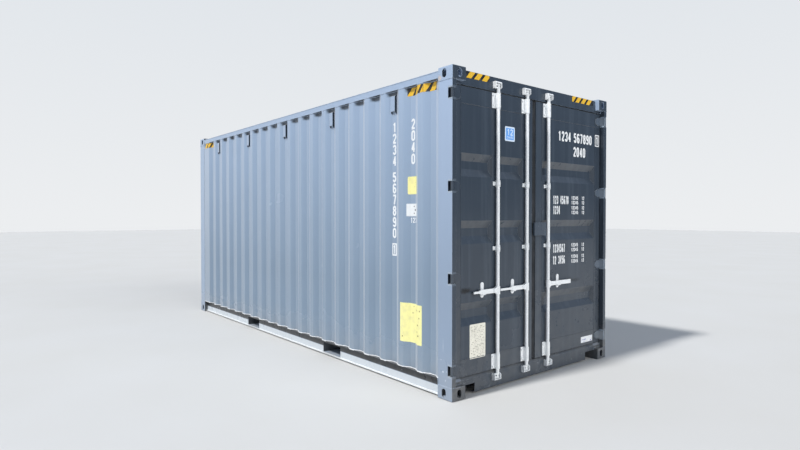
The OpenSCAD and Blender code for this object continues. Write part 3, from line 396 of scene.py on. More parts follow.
# Printed vinyl label: rows of short marks with no letters in them, from the label's own UV map. rowHalf is half
# a mark's height as a share of its row, gaps the share of marks left out, word how fast the runs of marks change
# along a row and from row to row, and the margins end the print this share of the label from its middle
label = {"dirt": "#9b968b", "roughness": 0.45, "ior": 1.52, "blot": 18.0, "blotLevel": 0.35, "rowHalf": 0.2,
         "gaps": 0.25, "word": (0.17, 1.7, 1), "marginU": 0.42, "marginV": 0.44}


# size is in mm, lead the distance between rows and mark the width of one mark in mm, and fill the share of words
def printedMaterial(name, colour, ink, size, lead, mark, seed, fill):
    material, add = newMaterial(name)
    flat = add("UVMap").outputs[0]
    u, v, _ = add("SeparateXYZ", {0: flat}).outputs
    row = add("Math", {0: v, 1: size[1] / lead}, operation="MULTIPLY").outputs[0]
    column = add("Math", {0: u, 1: size[0] / mark}, operation="MULTIPLY").outputs[0]
    rowIndex = add("Math", {0: row}, operation="FLOOR").outputs[0]
    rowShare = add("Math", {0: row}, operation="FRACT").outputs[0]
    shown = add("Math", {0: rowShare, 1: 0.5, 2: label["rowHalf"]}, operation="COMPARE").outputs[0]
    columnIndex = add("Math", {0: column}, operation="FLOOR").outputs[0]
    spot = add("CombineXYZ", {0: columnIndex, 1: rowIndex, 2: seed}).outputs[0]
    tooth = add("TexWhiteNoise", {"Vector": spot}).outputs["Value"]
    tooth = add("Math", {0: tooth, 1: label["gaps"]}, operation="GREATER_THAN").outputs[0]
    word = add("Mapping", {"Vector": spot, "Scale": label["word"]}).outputs[0]
    word = add("TexNoise", {"Vector": word, "Scale": 1.0, "Detail": 0.0}).outputs["Fac"]
    word = add("Math", {0: word, 1: 1 - fill}, operation="GREATER_THAN").outputs[0]
    inU = add("Math", {0: u, 1: 0.5, 2: label["marginU"]}, operation="COMPARE").outputs[0]
    inV = add("Math", {0: v, 1: 0.5, 2: label["marginV"]}, operation="COMPARE").outputs[0]
    for limit in (tooth, word, inU, inV):
        shown = add("Math", {0: shown, 1: limit}, operation="MULTIPLY").outputs[0]
    place = add("TexCoord").outputs["Object"]
    film = add("TexNoise", {"Vector": place, "Scale": label["blot"], "Detail": 5.0}).outputs["Fac"]
    film = add("MapRange", {"Value": film, "From Min": 0.5, "From Max": 0.9,
                            "To Max": label["blotLevel"]}).outputs[0]
    tone = add("Mix", {0: film, 6: linear(colour), 7: linear(label["dirt"])}, data_type="RGBA").outputs[2]
    tone = add("Mix", {0: shown, 6: tone, 7: linear(ink)}, data_type="RGBA").outputs[2]
    shader = add("BsdfPrincipled", {"Base Color": tone, "Roughness": label["roughness"], "IOR": label["ior"]})
    add("OutputMaterial", {"Surface": shader.outputs[0]})
    return material


# Planes of the container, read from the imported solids
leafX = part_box("left_door_stiles")[1][0]
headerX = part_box("door_header")[1][0]
railBottom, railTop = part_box("top_side_rails")[0][2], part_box("top_side_rails")[1][2]
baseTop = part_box("bottom_side_rails")[1][2]
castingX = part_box("top_side_rails")[1][0]
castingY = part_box("door_header")[1][1]
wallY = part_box("right_side_wall")[1][1]
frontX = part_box("front_wall")[0][0]
postX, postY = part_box("left_rear_post")[1][0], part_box("right_rear_post")[1][1]
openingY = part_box("right_rear_post")[0][1]
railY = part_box("top_side_rails")[1][1]
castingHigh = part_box("bottom_corner_castings")[1][2]
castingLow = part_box("top_corner_castings")[0][2]
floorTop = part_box("floor_panel")[1][2]

# Marks on the enamel, each a centre, half sizes, a colour and a strength: dark marks beside the handle ends
# on the leaves, a primed repair by a top casting, and scrapes low on the rear post
markTones = {"handleDark": "#0c0f13", "repair": "#c9bbb2", "scrape": "#d5dce4"}
leftHandleMarks = [((2.974, -0.966, 0.936), (0.02, 0.125, 0.034), markTones["handleDark"], 1.0),
            ((2.974, -0.900, 0.905), (0.02, 0.07, 0.040), markTones["handleDark"], 0.4)]
rightHandleMarks = [((2.974, 0.645, 0.914), (0.02, 0.130, 0.028), markTones["handleDark"], 0.7),
             ((2.974, 0.600, 0.935), (0.02, 0.06, 0.032), markTones["handleDark"], 0.35)]
repairs = [((2.862, -1.216, 2.800), (0.032, 0.02, 0.026), markTones["repair"], 0.8)]
scrapes = [((x, -1.216, z), (w, 0.02, h), markTones["scrape"], level) for x, z, w, h, level in (
    (2.914, 0.243, 0.009, 0.008, 0.9), (2.956, 0.250, 0.005, 0.008, 0.7), (2.944, 0.172, 0.007, 0.014, 0.8),
    (2.889, 0.345, 0.006, 0.007, 0.8), (2.915, 0.470, 0.004, 0.060, 0.4), (2.940, 0.119, 0.100, 0.005, 0.8))]
scrapes.append(((3.030, -1.140, 0.119), (0.02, 0.080, 0.005), markTones["scrape"], 0.6))

# Bands on the base rails: a pale band low down, partly dust and partly painted light, a near-white line at the
# foot, painted highlight, and above them painted shade under the wall's foot; painted shade on the top rail's
# underside; and painted shadow in the side wall's recesses under that rail
railLightAndShadeBands = [(-0.01, 0.090, "#d8dde0", 0.8), (-0.01, 0.024, "#f4f7f8", 0.9), (0.093, 0.18, paint["grime"], 0.97)]
paintedUnderShade = [(2.70, railBottom, "#20262d", 0.9)]
paintedRailShadow = {"outer": wallY - 0.004, "inner": wallY - 0.022, "low": 2.755, "high": 2.775, "level": 0.8}

# Tones of each part of the container, and how dusty its lower parts are. The walls, rails and posts carry a
# lighter copy of the enamel, painted light, and the door end, its leaves and the overlap plate a darker copy,
# painted shade, which the vents, rails, posts and other frame parts also take on faces towards the door end; on
# the doors the low dust is also painted light from the floor
wallTones, railTones, postTones = ("#798c9f", "#8395a8"), ("#91a3b9", "#9aabc0"), ("#8798ad", "#90a0b5")
shaded, ventShade, wornShade = ("#333c47", "#3a444f"), ("#252b33", "#2c333c"), ("#4c5764", "#58636f")
sunny = {"chalk": 1.0, "bleachedAndLit": 0.40}
doorDustAndLight = (0.05, 0.11, 0.06, 2.0)
wallEnamel = paintMaterial("wallEnamel", *wallTones, **sunny)
sideEnamel = paintMaterial("sideWallEnamel", *wallTones, **sunny, paintedRailShadow=paintedRailShadow)
ventEnamel = paintMaterial("ventEnamel", *wallTones, endShadeTones=ventShade, **sunny)
topRailEnamel = paintMaterial("topRailEnamel", *railTones, (), 0.004, shaded, bleachedAndLit=0.25, bands=paintedUnderShade)
frameEnamel = paintMaterial("frameEnamel", *railTones, repairs, 0.004, shaded, bleachedAndLit=0.25)
postEnamel = paintMaterial("rearPostEnamel", *postTones, repairs + scrapes, 0.004, shaded, bleachedAndLit=0.42,
                           recess=(2.8, 1.173))
railEnamel = paintMaterial("baseRailEnamel", *railTones, (), 0.004, shaded, (0.3, 0.1, 0.1, 0.5), bands=railLightAndShadeBands)
endEnamel = paintMaterial("doorEndEnamel", *shaded, dusty=(0.3, 0.1, 0.08, 2.0))
leftEnamel = paintMaterial("leftLeafEnamel", *shaded, leftHandleMarks, dusty=(0.05, 0.11, 0.02, 2.0))
rightEnamel = paintMaterial("rightLeafEnamel", *shaded, rightHandleMarks, dusty=doorDustAndLight)
# Hinge lugs and right blades: paler worn paint with a painted highlight, and painted shade on faces towards the
# door end
wornHighlitEnamel = paintMaterial("wornHighlitHingeEnamel", "#9aa8b7", "#a7b4c2", endShadeTones=wornShade)
# Welds and strips at the walls' foot: near-white, partly dust and partly a painted highlight
dustyLitEnamel = paintMaterial("dustyLitWeldEnamel", "#eceff2", "#f6f8fa")
plateEnamel = paintMaterial("overlapPlateEnamel", "#3e4854", "#47515d", dusty=doorDustAndLight)
galvanised = zincMaterial("galvanisedSteel")
sealRubber = rubberMaterial("epdmRubber")
floorPlywood = plywoodMaterial("floorPlywood")
# White film in two copies: a brighter one on the door end, painted light against its shade, and a duller one on
# the walls, painted shade against the key lamp
whiteFilm = filmMaterial("whiteFilm", "#f4f5f5", "#d0d1cf")
wallFilm = filmMaterial("dimmedWallWhiteFilm", "#e9ebec", "#cbcccb")
yellowFilm = filmMaterial("yellowFilm", "#eebd2f")
blackFilm = filmMaterial("blackFilm", "#1c1d1f")
blueFilm = filmMaterial("blueFilm", "#6faaf0")
paleBlueFilm = filmMaterial("paleBlueFilm", "#dcebfb")

materialOfSlot = {"paint": frameEnamel, "galvanised_steel": galvanised, "rubber": sealRubber,
                  "plywood": floorPlywood}
materialOfNode = {
    "left_side_wall": sideEnamel, "right_side_wall": sideEnamel, "front_wall": wallEnamel,
    "roof_panel": wallEnamel, "wall_vents": ventEnamel, "top_side_rails": topRailEnamel,
    "bottom_side_rails": railEnamel, "door_header": endEnamel, "door_sill": endEnamel,
    "left_rear_post": postEnamel, "right_rear_post": postEnamel, "bottom_corner_castings": postEnamel,
    "left_door_stiles": endEnamel, "left_door_members": endEnamel, "left_door_panel": leftEnamel,
    "left_hinge_blades": endEnamel, "right_door_stiles": endEnamel, "right_door_members": endEnamel,
    "right_door_panel": rightEnamel, "right_hinge_blades": wornHighlitEnamel, "hinge_lugs": wornHighlitEnamel,
    "overlap_plate": plateEnamel}
for subpart in frame["record"]["subparts"]:
    node = frame["nodes"][subpart["node"]]
    node.data.materials.clear()
    node.data.materials.append(materialOfNode.get(subpart["node"], materialOfSlot[subpart["material_slot"]]))
print("materials made")


# Faces of a grid of m by n points; wrapU and wrapV join the last row or column to the first
def gridFaces(m, n, wrapU=False, wrapV=False):
    i, j = np.meshgrid(np.arange(m - (not wrapU)), np.arange(n - (not wrapV)), indexing="ij")
    a, b = i * n + j, i * n + (j + 1) % n
    c, d = (i + 1) % m * n + (j + 1) % n, (i + 1) % m * n + j
    return np.stack([a, b, c, d], -1).reshape(-1, 4)


# Slab between two grids of the same size: outer(u, v) and inner(u, v), with a rim round their edge
def slab(outer, inner):
    m, n = outer.shape[:2]
    top = gridFaces(m, n)
    edge = np.concatenate([np.arange(n - 1), np.arange(m - 1) * n + n - 1,
                           m * n - 1 - np.arange(n - 1), (m - 1 - np.arange(m - 1)) * n])
    after = np.roll(edge, -1)
    rim = np.stack([edge, edge + m * n, after + m * n, after], 1)
    points = np.concatenate([outer.reshape(-1, 3), inner.reshape(-1, 3)])
    return points, np.concatenate([top, top[:, ::-1] + m * n, rim])


# Two fans that close the ends of a tube of m rings, each round a point of its own; a turned tube runs the other
# way round
def endFans(m, sides, isTurned=False):
    a = np.arange(sides)
    b = (a + 1) % sides
    if isTurned:
        a, b = b, a
    last = np.array([(m - 1) * sides, (m - 1) * sides, 0])
    return [np.stack([a, b, np.full(sides, m * sides)], 1),
            np.stack([b, a, np.full(sides, m * sides + 1)], 1) + last]


# Round bar along a path: p(s, t) = path(s) + r (cos t * side + sin t * up), closed by a point at each end
def roundBar(path, radius, sides=6):
    path = np.asarray(path, float)
    along = np.gradient(path, axis=0)
    along /= np.linalg.norm(along, axis=1)[:, None]
    guide = np.where(np.abs(along[:, 2:]) > 0.9, (1.0, 0, 0), (0, 0, 1.0))
    side = np.cross(along, guide)
    side /= np.linalg.norm(side, axis=1)[:, None]
    up = np.cross(side, along)
    t = np.arange(sides) / sides * 2 * np.pi
    radius = np.broadcast_to(np.asarray(radius, float), len(path))[:, None, None]
    around = np.cos(t)[None, :, None] * side[:, None] + np.sin(t)[None, :, None] * up[:, None]
    points = (path[:, None] + radius * around).reshape(-1, 3)
    faces = [gridFaces(len(path), sides, wrapV=True), *endFans(len(path), sides)]
    return np.concatenate([points, path[:1], path[-1:]]), faces


# Profile (r, h) revolved round an axis: p(s, t) = (r cos t, r sin t, h)
def revolved(profile, sides):
    t = np.arange(sides) / sides * 2 * np.pi
    around = np.stack([np.cos(t), np.sin(t)], 1)
    points = np.concatenate([profile[:, None, :1] * around[None], np.repeat(profile[:, None, 1:], sides, 1)], 2)
    return points.reshape(-1, 3)


# Turned shape: an open profile revolved, with both its ends closed by a point on the axis
def turned(profile, sides):
    profile = np.asarray(profile, float)
    tips = np.array([[0, 0, profile[0, 1]], [0, 0, profile[-1, 1]]])
    faces = [gridFaces(len(profile), sides, wrapV=True), *endFans(len(profile), sides, True)]
    return np.concatenate([revolved(profile, sides), tips]), faces


# Ring: a closed profile revolved
def ring(profile, sides):
    return revolved(profile, sides), gridFaces(len(profile), sides, True, True)


# Domed head of a rivet or screw, turned: an ellipse's quarter of this radius and rise, left flat past 75 degrees
def dome(radius, rise, steps, sides):
    t = np.radians(np.linspace(0, 75, steps))
    return turned(np.stack([radius * np.cos(t), rise * np.sin(t)], 1), sides)


# The same shape at every place: its own height axis turned to the given axis (0 X, 1 Y, 2 Z) with a sign
def repeated(shape, places, axis, sign=1):
    points, faces = shape
    order = {0: [2, 0, 1], 1: [1, 2, 0], 2: [0, 1, 2]}[axis]
    turnedPoints = points[:, order] * np.where(np.arange(3) == axis, sign, 1)
    places = np.asarray(places, float).reshape(-1, 3)
    faces = faces if isinstance(faces, list) else [faces]
    allPoints = (places[:, None] + turnedPoints[None]).reshape(-1, 3)
    shift = np.arange(len(places))[:, None, None] * len(points)
    return allPoints, [(f[None] + shift).reshape(-1, f.shape[1]) for f in faces]


# One Blender piece from several (points, faces) shapes; closed shells get their normals turned outwards
def addPiece(name, shapes, material, body, smooth=False, uv=None):
    points, faces, start = [], [], 0
    for shapePoints, shapeFaces in shapes:
        shapeFaces = shapeFaces if isinstance(shapeFaces, list) else [shapeFaces]
        faces += [row for f in shapeFaces for row in (f + start).tolist()]
        points.append(shapePoints)
        start += len(shapePoints)
    mesh = bpy.data.meshes.new(name)
    mesh.from_pydata(np.concatenate(points).tolist(), [], faces)
    if uv is not None:
        layer = mesh.uv_layers.new(name="UVMap")
        corner = np.zeros(len(mesh.loops), int)
        mesh.loops.foreach_get("vertex_index", corner)
        layer.data.foreach_set("uv", np.asarray(uv, np.float32)[corner].ravel())
    work = bmesh.new()
    work.from_mesh(mesh)
    bmesh.ops.recalc_face_normals(work, faces=work.faces)
    work.to_mesh(mesh)
    work.free()
    mesh.polygons.foreach_set("use_smooth", np.full(len(mesh.polygons), smooth))
    mesh.materials.append(material)
    piece = bpy.data.objects.new(name, mesh)
    bpy.context.scene.collection.objects.link(piece)
    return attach(piece, body)


# Corrugations: zigzags with this pitch, and this depth behind the outer flats
sideWave = {"pitch": 0.278, "slope": 0.068, "flat": 0.070, "depth": 0.036, "count": 20}
frontWave = {"pitch": 0.250, "slope": 0.018, "flat": 0.104, "depth": 0.044, "start": 0.945, "count": 8}


# Where one corrugation bends: slope in, inner flat, slope out
def waveSteps(w):
    return np.cumsum([0, w["slope"], w["flat"], w["slope"]])


# Depth of a sheet at the distance u along it: straight from bend to bend, and none past the corrugations
def waveDepth(u, w):
    inside = (u > 0) & (u < w["count"] * w["pitch"])
    depths = [0, w["depth"], w["depth"], 0, 0]
    return np.where(inside, np.interp(np.mod(u, w["pitch"]), [*waveSteps(w), w["pitch"]], depths), 0)


def sideDepth(x):
    return waveDepth(castingX - x, sideWave)


def frontDepth(y):
    return waveDepth(frontWave["start"] - y, frontWave)


# A flat drawing (across to the right and up, as seen from outside, and lift off the surface) put on each face
def onLeaf(across, up, lift):
    return np.stack([leafX + lift, across, up], -1)


def onHeader(across, up, lift):
    return np.stack([headerX + lift, across, up], -1)


def onLeftWall(across, up, lift):
    return np.stack([across, sideDepth(across) - wallY - lift, up], -1)


def onRightWall(across, up, lift):
    return np.stack([-across, wallY - sideDepth(-across) + lift, up], -1)


def onFrontWall(across, up, lift):
    return np.stack([frontX + frontDepth(-across) - lift, -across, up], -1)


# Bends of the corrugation inside a span, so that a film or bead keeps to the sheet; flipped is the far wall,
# whose drawing runs the other way
def bends(low, high, w, start, flipped=False):
    at = start - (np.arange(w["count"])[:, None] * w["pitch"] + waveSteps(w)).ravel()
    at = -at if flipped else at
    return at[(at > low) & (at < high)]


# Rounded rectangle as a grid: a corner's square rings are pulled to circles, p = c + d * max|d| / |d|
def roundedGrid(low, high, radius, columns):
    low, high = np.array(low, float), np.array(high, float)
    centre, half = (low + high) / 2, (high - low) / 2
    x = np.unique(np.concatenate([np.linspace(low[0], high[0], 9), low[0] + radius * np.linspace(0, 1, 5),
                                  high[0] - radius * np.linspace(0, 1, 5), columns]).round(6))
    y = np.unique(np.concatenate([np.linspace(low[1], high[1], 5), low[1] + radius * np.linspace(0, 1, 5),
                                  high[1] - radius * np.linspace(0, 1, 5)]).round(6))
    flat = np.stack(np.meshgrid(x, y, indexing="ij"), -1) - centre
    beyond = np.maximum(np.abs(flat) - (half - radius), 0)
    corner = (beyond > 0).all(-1)
    pull = np.where(corner, beyond.max(-1) / np.maximum(np.linalg.norm(beyond, axis=-1), 1e-9), 1)
    bent = np.sign(flat) * (np.minimum(np.abs(flat), half - radius) + beyond * pull[..., None])
    grid = np.where(corner[..., None], bent, flat) + centre
    return grid, (grid - low) / (high - low)


filmLift = 0.0002    # the gap under a film or a coat of paint, which keeps it clear of the sheet


# Film or plate on a face: a thin slab between two lifts, with the drawing's share of its box as UV
def plate(onFace, low, high, radius, lift=filmLift, thick=0.0006, columns=()):
    grid, share = roundedGrid(low, high, radius, np.asarray(columns, float))
    outer = onFace(grid[..., 0], grid[..., 1], np.full(grid.shape[:2], lift + thick))
    inner = onFace(grid[..., 0], grid[..., 1], np.full(grid.shape[:2], lift))
    return slab(outer, inner), np.concatenate([share.reshape(-1, 2)] * 2)


# Points of an arc, x = cx + rx cos t, y = cy + ry sin t
def arc(cx, cy, rx, ry, start, end, count=11):
    t = np.radians(np.linspace(start, end, count))
    return np.stack([cx + rx * np.cos(t), cy + ry * np.sin(t)], 1)


# Centre lines of the condensed digits in a unit box, each with whether it closes on itself
six = [(np.concatenate([arc(0.5, 0.78, 0.5, 0.22, 15, 180), [[0, 0.26]]]), False),
       (arc(0.5, 0.27, 0.5, 0.27, 0, 330, 16), True)]
digitLines = {
    "0": [(np.concatenate([arc(0.5, 0.78, 0.5, 0.22, 0, 180), arc(0.5, 0.22, 0.5, 0.22, 180, 360)]), True)],
    "1": [(np.array([[0.12, 0.78], [0.58, 1.0]]), False), (np.array([[0.58, 1.07], [0.58, -0.07]]), False)],
    "2": [(np.concatenate([arc(0.5, 0.76, 0.5, 0.24, 175, 0), [[0.97, 0.62], [0.0, 0.02]]]), False),
          (np.array([[-0.12, 0.0], [1.12, 0.0]]), False)],
    "3": [(arc(0.5, 0.77, 0.5, 0.23, 170, -90, 15), False), (arc(0.5, 0.27, 0.5, 0.27, 90, -170, 15), False)],
    "4": [(np.array([[0.74, 1.07], [0.74, -0.07]]), False), (np.array([[0.74, 1.0], [0.0, 0.3]]), False),
          (np.array([[-0.12, 0.28], [1.15, 0.28]]), False)],
    "5": [(np.array([[1.05, 1.0], [-0.08, 1.0]]), False), (np.array([[0.04, 1.0], [0.04, 0.52]]), False),
          (np.concatenate([[[0.04, 0.52]], arc(0.5, 0.31, 0.5, 0.31, 120, -165, 15)]), False)],
    "6": six,
    "7": [(np.array([[-0.08, 1.0], [1.08, 1.0]]), False), (np.array([[0.98, 1.0], [0.38, -0.07]]), False)],
    "8": [(arc(0.5, 0.77, 0.46, 0.23, 0, 336, 16), True), (arc(0.5, 0.27, 0.5, 0.27, 0, 336, 16), True)],
    "9": [(1 - line, closes) for line, closes in six]}


# Painted stroke: the line's points moved to both sides by half a width along the mitre of their neighbours
def stroke(line, width, onFace, closes, lift=filmLift, thick=0.0004):
    line = np.concatenate([line, line[:1]]) if closes else np.asarray(line, float)
    step = np.diff(line, axis=0)
    step /= np.linalg.norm(step, axis=1)[:, None]
    before = np.concatenate([step[-1:] if closes else step[:1], step])
    after = np.concatenate([step, step[:1] if closes else step[-1:]])
    square = np.stack([-(before + after)[:, 1], (before + after)[:, 0]], 1)
    square /= np.linalg.norm(square, axis=1)[:, None]
    mitre = np.maximum((square * np.stack([-before[:, 1], before[:, 0]], 1)).sum(1), 0.5)
    side = square / mitre[:, None] * width / 2
    grid = line[:, None] + side[:, None] * np.array([-1, 1])[None, :, None]
    flat = np.ones(grid.shape[:2])
    return slab(onFace(grid[..., 0], grid[..., 1], flat * (lift + thick)),
                onFace(grid[..., 0], grid[..., 1], flat * lift))


strokeLayer = 0.0002


# A row of digits; step is the move from one digit to the next, so a column steps down. Where two strokes of a
# digit cross, the second lies a coat of paint, strokeLayer, higher
def digitRow(text, corner, size, step, width, onFace, lift=filmLift):
    shapes = []
    box = np.array(size) - width
    for k, digit in enumerate(text):
        origin = np.array(corner) + k * np.array(step) + width / 2
        for layer, (line, closes) in enumerate(digitLines.get(digit, [])):
            shapes.append(stroke(origin + line * box, width, onFace, closes, lift + layer * strokeLayer))
    return shapes


# A thin frame round a digit
def digitBox(low, high, width, onFace):
    low, high = np.array(low) + width / 2, np.array(high) - width / 2
    outline = np.array([low, (high[0], low[1]), high, (low[0], high[1])])
    return [stroke(outline, width, onFace, True, filmLift / 2)]


print("shapes ready")

# Weld beads where the sheets meet the rails: a round bar half sunk in the corner, a little uneven
weld = {"radius": 0.0045, "step": 0.022, "uneven": 0.18, "limit": 0.35, "foot": 0.006}


def bead(points, radius=weld["radius"], seed=1):
    points = np.asarray(points, float)
    run = np.concatenate([[0], np.cumsum(np.linalg.norm(np.diff(points, axis=0), axis=1))])
    s = np.unique(np.concatenate([run, np.arange(0, run[-1], weld["step"])]).round(6))
    path = np.stack([np.interp(s, run, points[:, k]) for k in range(3)], 1)
    uneven = np.random.default_rng(seed).normal(0, weld["uneven"], len(s)).clip(-weld["limit"], weld["limit"])
    return roundBar(path, radius * (1 + uneven))


# Path along a side wall's sheet at one height
def alongSide(z, onFace, flipped=False):
    at = np.sort(np.concatenate([[-castingX, castingX], bends(-castingX, castingX, sideWave, castingX)]))
    at = np.sort(-at) if flipped else at
    return onFace(at, np.full(len(at), z), np.zeros(len(at)))


headWelds = [bead(alongSide(railBottom, onLeftWall), seed=2),
             bead(alongSide(railBottom, onRightWall, True), seed=4)]
addPiece("wallHeadWelds", headWelds, wallEnamel, "frame", True)
footWelds = [bead(alongSide(baseTop, onLeftWall), weld["foot"], 3),
             bead(alongSide(baseTop, onRightWall, True), weld["foot"], 5)]
addPiece("wallFootWelds", footWelds, dustyLitEnamel, "frame", True)
frontBends = -bends(-castingY, castingY, frontWave, frontWave["start"])
across = np.sort(np.concatenate([[-castingY, castingY], frontBends]))
zero = np.zeros(len(across))
frontWelds = [bead(onFrontWall(across, zero + z, zero), seed=seed) for z, seed in ((railBottom, 6), (floorTop, 7))]
addPiece("frontWallWelds", frontWelds, wallEnamel, "frame", True)

# Strips that close the foot of the front wall's corrugations on top of the rail
footStrip = {"thick": 0.003, "tuck": 0.0015}
footBack = frontX + frontWave["depth"] + footStrip["tuck"]
strips = []
for k in range(frontWave["count"]):
    lip = frontWave["start"] - k * frontWave["pitch"] - waveSteps(frontWave)[[0, 3]]
    back = lip + np.array([-1, 1]) * frontWave["slope"]
    corners = np.array([[(frontX, lip[0]), (frontX, lip[1])], [(footBack, back[0]), (footBack, back[1])]])
    top = np.concatenate([corners, np.full((2, 2, 1), floorTop)], -1)
    strips.append(slab(top, top - [0, 0, footStrip["thick"]]))
addPiece("frontFootStrips", strips, dustyLitEnamel, "frame")


# Beads round the ends of posts and rails, on the castings' planes. rise is how far the header's bead runs up
# past the rail, drop how far the inner one hangs below the casting, and foot where the sill's bead ends
postWeld = {"rise": 0.015, "drop": 0.026, "foot": 0.1}


def frameWelds():
    beads = []
    for side in (-1, 1):
        y, inner, edge = side * postY, side * openingY, side * castingY
        for z in (castingHigh, castingLow):
            beads.append(bead([(castingX, y, z), (postX, y, z), (postX, inner, z)], seed=11))
            beads.append(bead([(-castingX, y, z), (-postX, y, z), (-postX, edge, z)], seed=12))
        for x in (-castingX, castingX):
            beads.append(bead([(x, y, castingLow), (x, y, railBottom)], seed=13))
            beads.append(bead([(x, y, railBottom), (x, y, railTop)], seed=14))
            beads.append(bead([(x, y, castingHigh), (x, y, baseTop)], seed=15))
        beads.append(bead([(headerX, edge, castingLow), (headerX, edge, railTop + postWeld["rise"])], seed=16))
        beads.append(bead([(headerX, inner, castingLow - postWeld["drop"]), (headerX, inner, castingLow)],
                          seed=17))
        beads.append(bead([(headerX, inner, castingHigh), (headerX, inner, floorTop)], seed=18))
        beads.append(bead([(headerX, inner, castingHigh), (headerX, edge, castingHigh),
                           (headerX, edge, postWeld["foot"])], seed=19))
    return beads


addPiece("frameWelds", frameWelds(), frameEnamel, "frame", True)

# Roof: a bead along both rails and both end plates, and butt seams of the sheets between ribs
roof = {"ribPitch": 0.209, "ribCount": 27, "seamEvery": 5, "lift": 0.002, "sunk": 0.001, "edgeBead": 0.004,
        "seamBead": 0.0035}
roofZ = railTop + roof["lift"]
edgeZ = roofZ - roof["sunk"]
firstSeam = roof["seamEvery"] - 0.5 - (roof["ribCount"] - 1) / 2
seamX = (np.arange(0, roof["ribCount"] - roof["seamEvery"], roof["seamEvery"]) + firstSeam) * roof["ribPitch"]
roofBeads = [bead([(-castingX, y, edgeZ), (castingX, y, edgeZ)], roof["edgeBead"], 21) for y in (-railY, railY)]
roofBeads += [bead([(x, -castingY, roofZ), (x, castingY, roofZ)], roof["edgeBead"], 22)
              for x in (-castingX, castingX)]
roofBeads += [bead([(x, -railY, roofZ), (x, railY, roofZ)], roof["seamBead"], 23) for x in seamX]
addPiece("roofWelds", roofBeads, wallEnamel, "frame", True)

# Butt seams of the wall sheets, upright on every fourth outer slope
wallSeam = {"every": 4, "first": 3, "bead": 0.003, "seed": 24}
seams = []
for k in range(wallSeam["first"], sideWave["count"], wallSeam["every"]):
    x = castingX - k * sideWave["pitch"] - sideWave["slope"] / 2
    for y in (sideWave["depth"] / 2 - wallY, wallY - sideWave["depth"] / 2):
        seams.append(bead([(x, y, baseTop), (x, y, railBottom)], wallSeam["bead"], wallSeam["seed"] + k))
addPiece("wallSeams", seams, wallEnamel, "frame", True)
print("frame welds made")

# Seams of the leaves: where the pressed panel meets the frame, and where the members meet the stiles
leaf = {"out": 1.164, "stile": 0.100, "low": 0.177, "high": 2.743, "member": 0.150,
        "free": {"left": -0.058, "right": -0.002}, "memberBead": 0.0032, "stileBead": 0.0022}
sides = (("left", -1), ("right", 1))
for side, s in sides:
    edges = sorted([leaf["free"][side], s * leaf["out"]])
    y0, y1 = edges[0] + leaf["stile"], edges[1] - leaf["stile"]
    z0, z1 = leaf["low"] + leaf["member"], leaf["high"] - leaf["member"]
    beads = [bead([(leafX, y0, z), (leafX, y1, z)], leaf["memberBead"], 31) for z in (z0, z1)]
    beads += [bead([(leafX, y, leaf["low"]), (leafX, y, leaf["high"])], leaf["stileBead"], 33) for y in (y0, y1)]
    addPiece(side + "LeafWelds", beads, endEnamel, side + "_door", True)

# Hinges: domed pin heads above and below the lugs, and weld beads round the straps on the leaves
hinge = {"pinX": 3.012, "pinY": 1.205, "levels": [0.261, 1.06033, 1.85967, 2.659], "lug": 0.058,
         "head": [(0.0105, 0), (0.0105, 0.003), (0.0085, 0.0055), (0.0045, 0.007)],
         "reach": 0.136, "taper": 0.044, "half": 0.043, "bead": 0.003}
head = turned(hinge["head"], 16)
pins = np.array([[hinge["pinX"], s * hinge["pinY"], z] for s in (-1, 1) for z in hinge["levels"]])
lug = np.array([0, 0, hinge["lug"]])
addPiece("hingePinHeads", [repeated(head, pins + lug, 2), repeated(head, pins - lug, 2, -1)], galvanised, "frame",
         True)
for side, s in sides:
    tip, half = hinge["pinY"] - hinge["reach"], hinge["half"]
    outline = [(leaf["out"], half), (tip + hinge["taper"], half), (tip, half / 2),
               (tip, -half / 2), (tip + hinge["taper"], -half), (leaf["out"], -half)]
    beads = [bead([(leafX, s * y, z + dz) for y, dz in outline], hinge["bead"], 40) for z in hinge["levels"]]
    addPiece(side + "HingeWelds", beads, endEnamel, side + "_door", True)

# Fasteners of the lock gear: hexagon bolts on the end brackets, domed rivets on guides and catches
gear = {"barX": 3.001, "bars": {"left": [-0.600, -0.172], "right": [0.172]}, "ends": [0.252, 2.668],
        "guides": [1.303, 1.902], "bolt": [(0.0105, 0), (0.0105, 0.0065), (0.0085, 0.0075)],
        "washer": [(0.0135, 0), (0.0135, 0.0018), (0.0128, 0.0025)], "boltOut": 0.042, "boltUp": 0.045,
        "rivetR": 0.0065, "guideOut": 0.033, "catchReach": 0.190, "catchZ": [0.877, 0.977], "catchT": 0.007,
        "bracketT": 0.005}
boltHead, washer = turned(gear["bolt"], 6), turned(gear["washer"], 20)
washerT = gear["washer"][-1][1]
rivet = dome(gear["rivetR"], gear["rivetR"] * 0.7, 5, 14)
bracketX = leafX + gear["bracketT"]
for side, s in sides:
    bolts, rivets, catches = [], [], []
    for y in gear["bars"][side]:
        bolts += [[bracketX, y + a, z + b] for z in gear["ends"] for a in (-gear["boltOut"], gear["boltOut"])
                  for b in (-gear["boltUp"], gear["boltUp"])]
        rivets += [[bracketX, y + a, z] for z in gear["guides"] for a in (-gear["guideOut"], gear["guideOut"])]
        catches += [[leafX + gear["catchT"], y + s * gear["catchReach"], z] for z in gear["catchZ"]]
    fasteners = [repeated(washer, bolts, 0), repeated(boltHead, np.array(bolts) + [washerT, 0, 0], 0)]
    addPiece(side + "GearBolts", fasteners, galvanised, side + "_door")
    addPiece(side + "GearRivets", [repeated(rivet, rivets + catches, 0)], galvanised, side + "_door",
             True)

